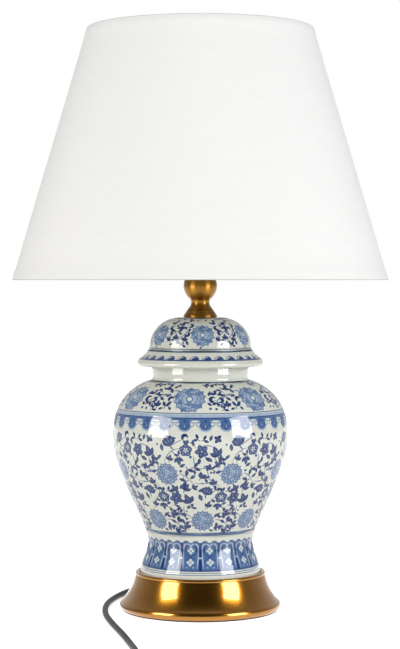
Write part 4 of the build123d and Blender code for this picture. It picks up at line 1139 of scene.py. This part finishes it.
def tie_strap():
    """Woven hook-and-loop strap round the coil, one turn with its end lapped over on top."""
    # Knitted nylon loop: dull black, with a coarse grain that catches a little light.
    webbing = fine_surface("Woven black nylon strap", "191919", 0.9, 0.0008, 0.00025, 0.2)
    low, high = box_mm("coil_tie")
    centre = (low + high) / 2
    half_y, half_z = (high.y - low.y) / 2, (high.z - low.z) / 2
    around, across, wall = 72, 6, 1.0
    spots, faces = [], []
    for n in range(around):
        angle = 2 * pi * n / around
        c, s = cos(angle), sin(angle)
        # A squared round, flat on the table and over the turns.
        reach = (abs(c) ** 5 + abs(s) ** 5) ** -0.2
        for k in range(2 * across):
            outside = k < across
            share = (k if outside else 2 * across - 1 - k) / (across - 1)
            inset = wall * (0.12 + 0.1 * abs(2 * share - 1) ** 4) if outside else wall
            x = low.x + (high.x - low.x) * share
            y = centre.y + (half_y - inset) * reach * c
            spots.append((x, y, centre.z + (half_z - inset) * reach * s))
    ring = 2 * across
    for n in range(around):
        for k in range(ring):
            a, b = n * ring + k, n * ring + (k + 1) % ring
            c, d = (n + 1) % around * ring + (k + 1) % ring, (n + 1) % around * ring + k
            faces.append((a, b, c, d))
    mesh = bpy.data.meshes.new("coil_strap")
    mesh.from_pydata([Vector(p) * MM for p in spots], [], faces)
    strap = new_object("coil_strap", mesh)
    activate(strap)
    bpy.ops.mesh.primitive_cube_add(size=1)
    lap = bpy.context.active_object
    bpy.ops.object.mode_set(mode="EDIT")
    bpy.ops.mesh.subdivide(number_cuts=3)
    bpy.ops.object.mode_set(mode="OBJECT")
    for vertex in lap.data.vertices:
        x, y, z = vertex.co
        round_off = 1 - 0.12 * (abs(2 * y) > 0.9)
        vertex.co = Vector((
            centre.x + x * (high.x - low.x) * 0.96 * round_off, centre.y + 2.0 + y * 13.0,
            high.z - 0.55 + z * 0.9 - 0.25 * (2 * y) ** 2,
        )) * MM
    lap.select_set(True)
    strap.select_set(True)
    bpy.context.view_layer.objects.active = strap
    bpy.ops.object.join()
    activate(strap)
    bpy.ops.object.mode_set(mode="EDIT")
    bpy.ops.mesh.select_all(action="SELECT")
    bpy.ops.mesh.normals_make_consistent(inside=False)
    bpy.ops.object.mode_set(mode="OBJECT")
    bpy.ops.object.shade_smooth_by_angle(angle=radians(40))
    give(strap, webbing)
    stand_for(strap, "lamp", "tie_fabric", "coil_tie")
    return strap


class LAMP_OT_cord(bpy.types.Operator):
    """Mains cord from the gland to the switch, and on through its coil to the plug"""

    bl_idname = "lamp.cord"
    bl_label = "Cord"

    def execute(self, context):
        nodes = frame["nodes"]
        code = context.scene.lamp.cord.sheath
        # Extruded PVC: a satin black skin with a soft streak of light along its top.
        sheath = fine_surface("Extruded black PVC", code, 0.42, 0.0006, 0.00002)
        # Moulded rubber: duller and a shade browner than the cord.
        rubber = fine_surface("Moulded black rubber", "1A1918", 0.55, 0.0005, 0.00003)
        route = [
            GLAND_TIP, (0, 126, 9), (-15.5, 143.5, 7), (-39, 147, 4.5), (-59, 133.5, 3.1), (-73, 102, 3.1),
            (-87, 66, 3.1), (-98, 14, 3.1), (-97, -46, 3.1), (-86, -105, 3.1), (-73, -162, 3.1),
            (-62, -221, 3.1), SWITCH_INLET - 37 * heading(SWITCH_HEADING), SWITCH_INLET,
        ]
        first = cord_curve("cord_to_switch", route, sheath)
        stand_for(first, "lamp", "cord_sheath", "cord_run")
        give(nodes["cord_gland"], rubber)
        give(nodes["gland_nut"], rubber)
        give(nodes["inner_lead"], sheath)
        tie = tie_strap()
        route = [
            SWITCH_OUTLET, SWITCH_OUTLET + 25 * heading(SWITCH_HEADING), (-8.1, -420.5, 4.4),
            (15.0, -420.5, 4.4),
        ]
        route += coil_points()
        route += [(35, -416.6, 11.0), (58, -416.6, 11.0), PLUG_ENTRY - 25 * heading(PLUG_HEADING), PLUG_ENTRY]
        second = cord_curve("cord_to_plug", route, sheath)
        stand_for(second, "lamp", "cord_sheath", "cord_link", "cord_coil", "cord_tail")
        return {"FINISHED"}


def felt_disc():
    """Die-cut felt pad: a soft rounded edge that swells and thins a little on its way round."""
    # Pressed wool: black, fully matt, with short fibres that stand off its face.
    felt = fine_surface(
        "Pressed wool felt", "151515", 0.98, 0.0009, 0.0003, 0.3, Sheen_Weight=0.3, Sheen_Roughness=0.6
    )
    low, high = box_mm("felt_pad")
    edge, thick, set_back = high.x, high.z - low.z, 0.25
    outline = [(0.5, low.z), (edge * 0.5, low.z), (edge - 1.4, low.z)]
    outline += arc((edge - thick * 0.5, low.z + thick / 2), thick / 2, -90, 90, 6)
    outline += [(edge * 0.5, high.z), (0.5, high.z), (0.5, low.z)]
    pad = spun("felt_disc", outline, 240, 50)
    for vertex in pad.data.vertices:
        radius = hypot(vertex.co.x, vertex.co.y)
        if radius > (edge - 1.0) * MM:
            turn = atan2(vertex.co.y, vertex.co.x)
            swell = 0.12 * sin(23 * turn) + 0.1 * sin(61 * turn + 1.0) + 0.06 * sin(107 * turn + 2.0)
            vertex.co.x += (swell - set_back) * MM * cos(turn)
            vertex.co.y += (swell - set_back) * MM * sin(turn)
    give(pad, felt)
    stand_for(pad, "lamp", "felt", "felt_pad")


class LAMP_OT_fittings(bpy.types.Operator):
    """Felt pad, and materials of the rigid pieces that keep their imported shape"""

    bl_idname = "lamp.fittings"
    bl_label = "Fittings"

    def execute(self, context):
        nodes = frame["nodes"]
        # Zinc plating: bright blue-grey steel, a little cloudy.
        zinc = fine_surface("Zinc plated steel", "B9BAB6", 0.35, 0.0012, 0.00002, Metallic=1.0)
        # Sand-cast iron under black paint: coarse and dull.
        iron = fine_surface("Painted cast iron", "1B1B1C", 0.6, 0.002, 0.0002)
        # Rubber rings under the jar and on its mouth: moulded, black and fully matt.
        seal = fine_surface("Moulded rubber seal", "121212", 0.7, 0.0008, 0.00003)
        # Phenolic: hard and dark brown-black, with a moulded polish.
        phenolic = fine_surface("Moulded black phenolic", "191615", 0.32, 0.0015, 0.00002)
        # Steatite: chalky ivory ceramic without glaze.
        steatite = fine_surface("Pressed steatite", "DAD5C8", 0.6, 0.0008, 0.00004)
        # Stamped brass: yellow and bright from the die.
        contact = fine_surface("Stamped contact brass", "C39A4B", 0.3, 0.001, 0.00001, Metallic=1.0)
        # Powder coat: white with a fine orange peel.
        white_wire = fine_surface("White powder coat", "EFEFEC", 0.45, 0.0011, 0.00004, 0.03)
        # Opal polycarbonate: a soft milky dome that lets some light through.
        opal = fine_surface(
            "Opal polycarbonate", "F3F3EE", 0.35, 0.001, 0.00001, 0.02, Subsurface_Weight=0.25,
            Subsurface_Scale=0.006,
        )
        # Moulded polycarbonate: clean white with a satin polish.
        white_plastic = fine_surface("Moulded white polycarbonate", "E6E6E4", 0.3, 0.0015, 0.00001, 0.03)
        # Rolled nickel plate: bright, with a faint yellow.
        cap_metal = fine_surface("Rolled nickel plated brass", "C6C5C0", 0.25, 0.001, 0.00001, Metallic=1.0)
        # Vitrite: black glass, very glossy.
        black_glass = fine_surface("Black vitrite glass", "0C0C0D", 0.08, 0.003, 0.00001)
        # ABS: fine spark-eroded grain, satin black.
        abs_black = fine_surface("Moulded black ABS", "18181A", 0.38, 0.0009, 0.00004)
        # Soft PVC: duller than the switch, with a slight bloom.
        pvc_black = fine_surface("Moulded black PVC", "1B1B1C", 0.48, 0.0007, 0.00004, 0.12)
        # Copper strands: bright pink-orange where the sheath ends.
        copper = fine_surface("Stranded copper", "B87448", 0.3, 0.0005, 0.00005, Metallic=1.0)
        finishes = {
            zinc: ("bottom_cover", "tube", "tube_nut", "tube_washer", "tube_lock_washer",
                   "switch_axle", "switch_screws"),
            iron: ("base_weight",),
            seal: ("foot_gasket", "lid_gasket"),
            phenolic: ("holder_cap", "holder_skirt", "shade_nut_lower", "shade_nut_upper"),
            steatite: ("holder_insulator",),
            contact: ("holder_contacts", "terminal_screws", "bulb_contact", "switch_contacts"),
            white_wire: ("shade_frame", "shade_top_hoop"),
            opal: ("bulb_diffuser",),
            white_plastic: ("bulb_housing",),
            cap_metal: ("bulb_cap", "plug_pins"),
            black_glass: ("bulb_insulator",),
            abs_black: ("switch_base", "switch_cover", "switch_rocker"),
            pvc_black: ("plug_body", "plug_sleeves"),
            copper: ("lead_cores",),
        }
        for material, names in finishes.items():
            for name in names:
                give(nodes[name], material)
        felt_disc()
        return {"FINISHED"}


class LAMP_OT_brass(bpy.types.Operator):
    """Spun pedestal and turned neck"""

    bl_idname = "lamp.brass"
    bl_label = "Brass"

    def execute(self, context):
        settings = context.scene.lamp.brass
        gold = brass_material("Spun lacquered brass", settings.gold, 0.24, 0.65, 0.9)
        aged = brass_material("Turned aged brass", settings.aged, 0.3, 0.85, 0.15)
        low, high = box_mm("pedestal")
        foot, top = 81.6, high.z
        wall = 1.6
        lip_low = (67.0, top - 3.0)
        bead = arc((foot - 3.4, low.z + 4.1), 4.9, -52, 48, 12)
        flare = bend((81.3, low.z + 7.7), (71.6, low.z + 17.7), (70.3, top - 10.3), lip_low, 28)
        lip = arc((64.9, top - 2.3), 2.3, 10, 172, 12)
        recess = 62.8
        outline = [(76.0, low.z), (foot - 0.6, low.z)] + bead + flare[1:] + lip
        outline += [(recess, top - 3.4), (recess, top - 4.0), (5.1, top - 4.0), (5.1, top - 5.6)]
        outline += [(65.4, top - 5.6)] + [(r - wall, z) for r, z in reversed(flare[:-6])]
        outline += [(foot - wall, low.z + wall), (76.0, low.z + wall), (76.0, low.z)]
        pedestal = spun("pedestal_skin", outline, 240, 30)
        give(pedestal, gold)
        stand_for(pedestal, "lamp", "satin_brass", "pedestal")

        collar_z, collar_top = (v.z for v in box_mm("neck_collar"))
        spool_top = box_mm("neck_spool")[1].z
        ball_top = box_mm("neck_ball")[1].z
        hole = 5.1
        collar = [(hole, collar_top), (hole, collar_z), (16.7, collar_z)]
        collar += arc((16.0, collar_z + 1.45), 1.45, -60, 62, 8)
        brow, crest = (16.5, collar_z + 3.0), (13.4, collar_top - 0.4)
        collar += bend(brow, (15.6, collar_z + 4.4), (14.5, collar_z + 6.2), crest, 10)
        collar += [(13.0, collar_top)]
        collar += [(hole, collar_top)]
        waist = collar_top + 6.8
        spool = [(hole, collar_top), (12.5, collar_top), (13.0, collar_top + 0.3)]
        throat, mouth = (9.5, waist), (10.2, spool_top - 0.5)
        spool += bend((12.7, collar_top + 0.8), (10.9, collar_top + 2.8), (9.5, waist - 2.2), throat, 12)
        spool += bend(throat, (9.5, waist + 1.4), (9.8, spool_top - 1.4), mouth, 8)[1:]
        spool += [(10.0, spool_top), (hole, spool_top)]
        rise = 14.0
        centre = spool_top + rise
        reach = 17.3
        start = -degrees(atan2(rise, (reach**2 - rise**2) ** 0.5))
        end = degrees(atan2(ball_top - centre, (reach**2 - (ball_top - centre) ** 2) ** 0.5))
        ball = [(hole, spool_top)] + arc((0, centre), reach, start, end, 40) + [(hole, ball_top)]
        for part, shape in (("collar", collar), ("spool", spool), ("ball", ball)):
            piece = spun(part + "_turned", shape + [shape[0]], 120, 32)
            give(piece, aged)
            stand_for(piece, "lamp", "satin_brass", "neck_" + part)
        return {"FINISHED"}


class LAMP_OT_jar(bpy.types.Operator):
    """Painted jar and lid"""

    bl_idname = "lamp.jar"
    bl_label = "Jar and lid"

    def execute(self, context):
        materials = glaze_materials()
        outline = jar_outline()
        foot, shoulder = paint_foot(outline), paint_shoulder(outline)
        zones = (foot, paint_field(outline), paint_clouds(outline), shoulder)
        shell = Shell()
        for zone in zones:
            shell.take(*zone.mesh())
        for lower, upper in zip(zones, zones[1:]):
            shell.strip(
                (*outline.at(lower.high), lower.count * lower.columns, degrees(lower.start)),
                (*outline.at(upper.low), upper.count * upper.columns, degrees(upper.start)),
            )
        around_foot = foot.count * foot.columns
        shell.lathe(
            [(56.0, JAR_Z + 6.0), (56.0, JAR_Z + 0.6), (56.6, JAR_Z)]
            + arc((FOOT_RADIUS - 1.2, JAR_Z + 1.2), 1.2, -90, 0, 5)
            + [outline.at(foot.low)],
            around_foot, degrees(foot.start),
        )
        neck, mouth, top = SHOULDER[0], SHOULDER[0] - JAR_WALL, JAR_HIGH.z
        inner = [
            (mouth, 233.5), (56.0, 230.0), (76.0, 211.0), (85.4, 182.0), (74.0, 134.0), (50.6, 84.0),
            (48.8, 69.0), (52.0, JAR_Z + 12.0), (5.6, JAR_Z + 12.0), (5.6, JAR_Z + 6.0),
            (56.0, JAR_Z + 6.0),
        ]
        ring_start = degrees(shoulder.start)
        around_neck = shoulder.count * shoulder.columns
        groove = neck - 0.9
        hollow = bend(
            SHOULDER, (groove, SHOULDER[1] + 0.6), (groove, SHOULDER[1] + 2.0),
            (neck - 0.8, SHOULDER[1] + 3.4), 6,
        )
        shell.lathe(
            [outline.at(shoulder.high), SHOULDER]
            + hollow[1:]
            + [(neck, top - 1.0)]
            + arc((neck - 1.0, top - 1.0), 1.0, 0, 90, 4)
            + arc((mouth + 1.0, top - 1.0), 1.0, 90, 180, 4)
            + inner[:-1],
            around_neck, ring_start,
        )
        shell.strip(
            (*inner[-1], around_foot, degrees(foot.start)), (*inner[-2], around_neck, ring_start)
        )
        jar = shell.build("jar_painted", outline, JAR_Z + FOOT_HEIGHT - 0.5, SHOULDER[1], materials)
        stand_for(jar, "lamp", "glaze", "jar")

        outline = lid_outline()
        border, zone = paint_lid_border(outline), paint_lid(outline)
        shell = Shell()
        shell.take(*border.mesh())
        shell.take(*zone.mesh())
        around_lid = zone.count * zone.columns
        start = degrees(zone.start)
        shell.strip(
            (*outline.at(border.high), border.count * border.columns, degrees(border.start)),
            (*outline.at(zone.low), around_lid, start),
        )
        low_edge, high_edge = outline.at(border.low), outline.at(zone.high)
        rim = arc((61.9, LID_SEAT - 0.5), 3.3, -100, 62, 12)
        inner = [
            (5.6, LID_HIGH.z), (5.6, LID_HIGH.z - 4.5), (20.0, LID_HIGH.z - 4.5), (36.0, LID_HIGH.z - 8.0),
            (45.0, LID_HIGH.z - 18.0), (47.0, LID_HIGH.z - 28.0), (40.5, LID_SEAT + 3.3),
            (40.5, LID_SEAT - 15.0), (44.8, LID_SEAT - 15.0), (44.8, LID_SEAT), (51.6, LID_SEAT),
            (51.6, LID_SEAT - 2.4), (58.8, LID_SEAT - 2.4),
        ]
        shell.lathe([high_edge, (LID_CROWN[0], LID_HIGH.z)] + inner[:3], around_lid, start)
        around_rim, rim_start = border.count * border.columns, degrees(border.start)
        shell.lathe(inner[3:] + rim + [low_edge], around_rim, rim_start)
        shell.strip((*inner[2], around_lid, start), (*inner[3], around_rim, rim_start))
        lid = shell.build("lid_painted", outline, LID_EDGE[1], LID_HIGH.z, materials)
        stand_for(lid, "lamp", "glaze", "lid")
        return {"FINISHED"}


class LAMP_OT_shade(bpy.types.Operator):
    """Lined cloth shade with turned hems"""

    bl_idname = "lamp.shade"
    bl_label = "Shade"

    def execute(self, context):
        settings = context.scene.lamp.shade
        material = linen_material()
        low, high = box_mm("shade_cover")
        bottom, top = high.x, 117.3
        slope = (bottom - top) / (high.z - low.z)
        wall = settings.thickness / MM

        def radius(z):
            return bottom - slope * (z - low.z)

        depth, hem, fold = 5.4, 9.0, 0.35
        body = low.z + hem + 1.0, high.z - hem - 1.0
        levels = [body[0] + (body[1] - body[0]) * n / 20 for n in range(21)]
        shape = [(radius(low.z + 0.7), low.z + 0.7), (radius(body[0] - 0.8), body[0] - 0.8)]
        shape += [(radius(z) - fold, z) for z in levels]
        shape += [(radius(body[1] + 0.8), body[1] + 0.8), (radius(high.z - 0.5), high.z - 0.5)]
        shape += [(radius(high.z) - 0.6, high.z), (radius(high.z) - depth + 0.6, high.z)]
        shape += [(radius(high.z) - depth, high.z - 0.6), (radius(high.z - hem) - depth, high.z - hem)]
        shape += [(radius(high.z - hem) - depth + wall, high.z - hem)]
        shape += [(radius(high.z - wall) - depth + wall, high.z - wall)]
        shape += [(radius(z) - wall, z) for z in (high.z - wall, low.z + wall)]
        shape += [(radius(z) - depth + wall, z) for z in (low.z + wall, low.z + hem)]
        shape += [(radius(low.z + hem) - depth, low.z + hem), (radius(low.z) - depth, low.z + 0.6)]
        shape += [(radius(low.z) - depth + 0.6, low.z), (radius(low.z) - 0.7, low.z)]
        cover = spun("shade_cloth", shape + [shape[0]], 240, 40)
        # Folded edge of the hem: the same cloth painted greyer, a painted shade line along the outer bottom
        # and top rolls.
        edge = fine_surface("Folded linen edge, painted shade", "C9C7C0", 0.9, 0.0009, 0.00005, 0.04)
        give(cover, material, edge)
        # Outer faces of the bottom and top rolls take the greyer cloth, which paints a thin line of shade.
        for polygon in cover.data.polygons:
            reach = hypot(polygon.center.x, polygon.center.y) / MM
            z = polygon.center.z / MM
            if reach > radius(z) - 1.2 and (z < low.z + 0.7 or z > high.z - 0.5):
                polygon.material_index = 1
        stand_for(cover, "shade", "shade_fabric", "shade_cover")

        # The cloth's ends lap at the back in a straight glued seam.
        rows, columns, lap = 24, 6, 11.0
        mesh = bpy.data.meshes.new("shade_seam")
        spots, faces = [], []
        for n in range(rows + 1):
            z = low.z + 0.8 + (high.z - low.z - 1.6) * n / rows
            for k in range(columns + 1):
                side = 2 * k / columns - 1
                reach = radius(z) - fold + (0.55 if abs(side) < 0.99 else -0.1)
                turn = side * lap / 2 / radius(z)
                spots.append(Vector((reach * sin(turn), reach * cos(turn), z)) * MM)
        for n in range(rows):
            for k in range(columns):
                a = n * (columns + 1) + k
                faces.append((a, a + columns + 1, a + columns + 2, a + 1))
        mesh.from_pydata(spots, [], faces)
        seam = new_object("shade_seam", mesh)
        activate(seam)
        bpy.ops.object.modifier_add(type="SOLIDIFY")
        seam.modifiers[0].thickness = 0.3 * MM
        seam.modifiers[0].offset = -1.0
        bpy.ops.object.modifier_apply(modifier=seam.modifiers[0].name)
        bpy.ops.object.shade_smooth_by_angle(angle=radians(40))
        give(seam, material)
        stand_for(seam, "shade", "shade_fabric")
        return {"FINISHED"}


class LAMP_PT_panel(bpy.types.Panel):
    """Buttons for the steps that build the lamp"""

    bl_label = "Ginger jar lamp"
    bl_space_type = "VIEW_3D"
    bl_region_type = "UI"
    bl_category = "Lamp"

    def draw(self, context):
        for step in STEPS:
            self.layout.operator(step.bl_idname)


GROUPS = (GlazeSettings, BrassSettings, ShadeSettings, CordSettings, LampSettings)
STEPS = (LAMP_OT_stage, LAMP_OT_cord, LAMP_OT_fittings, LAMP_OT_brass, LAMP_OT_jar, LAMP_OT_shade)


def register():
    for group in GROUPS + STEPS + (LAMP_PT_panel,):
        bpy.utils.register_class(group)
    bpy.types.Scene.lamp = PointerProperty(type=LampSettings)


def unregister():
    del bpy.types.Scene.lamp
    for group in reversed(GROUPS + STEPS + (LAMP_PT_panel,)):
        bpy.utils.unregister_class(group)


def main():
    """Builds the lamp step by step."""
    register()
    for step in STEPS:
        family, name = step.bl_idname.split(".")
        result = getattr(getattr(bpy.ops, family), name)()
        if result != {"FINISHED"}:
            raise RuntimeError(step.bl_label + " did not finish")


if __name__ == "__main__":
    main()
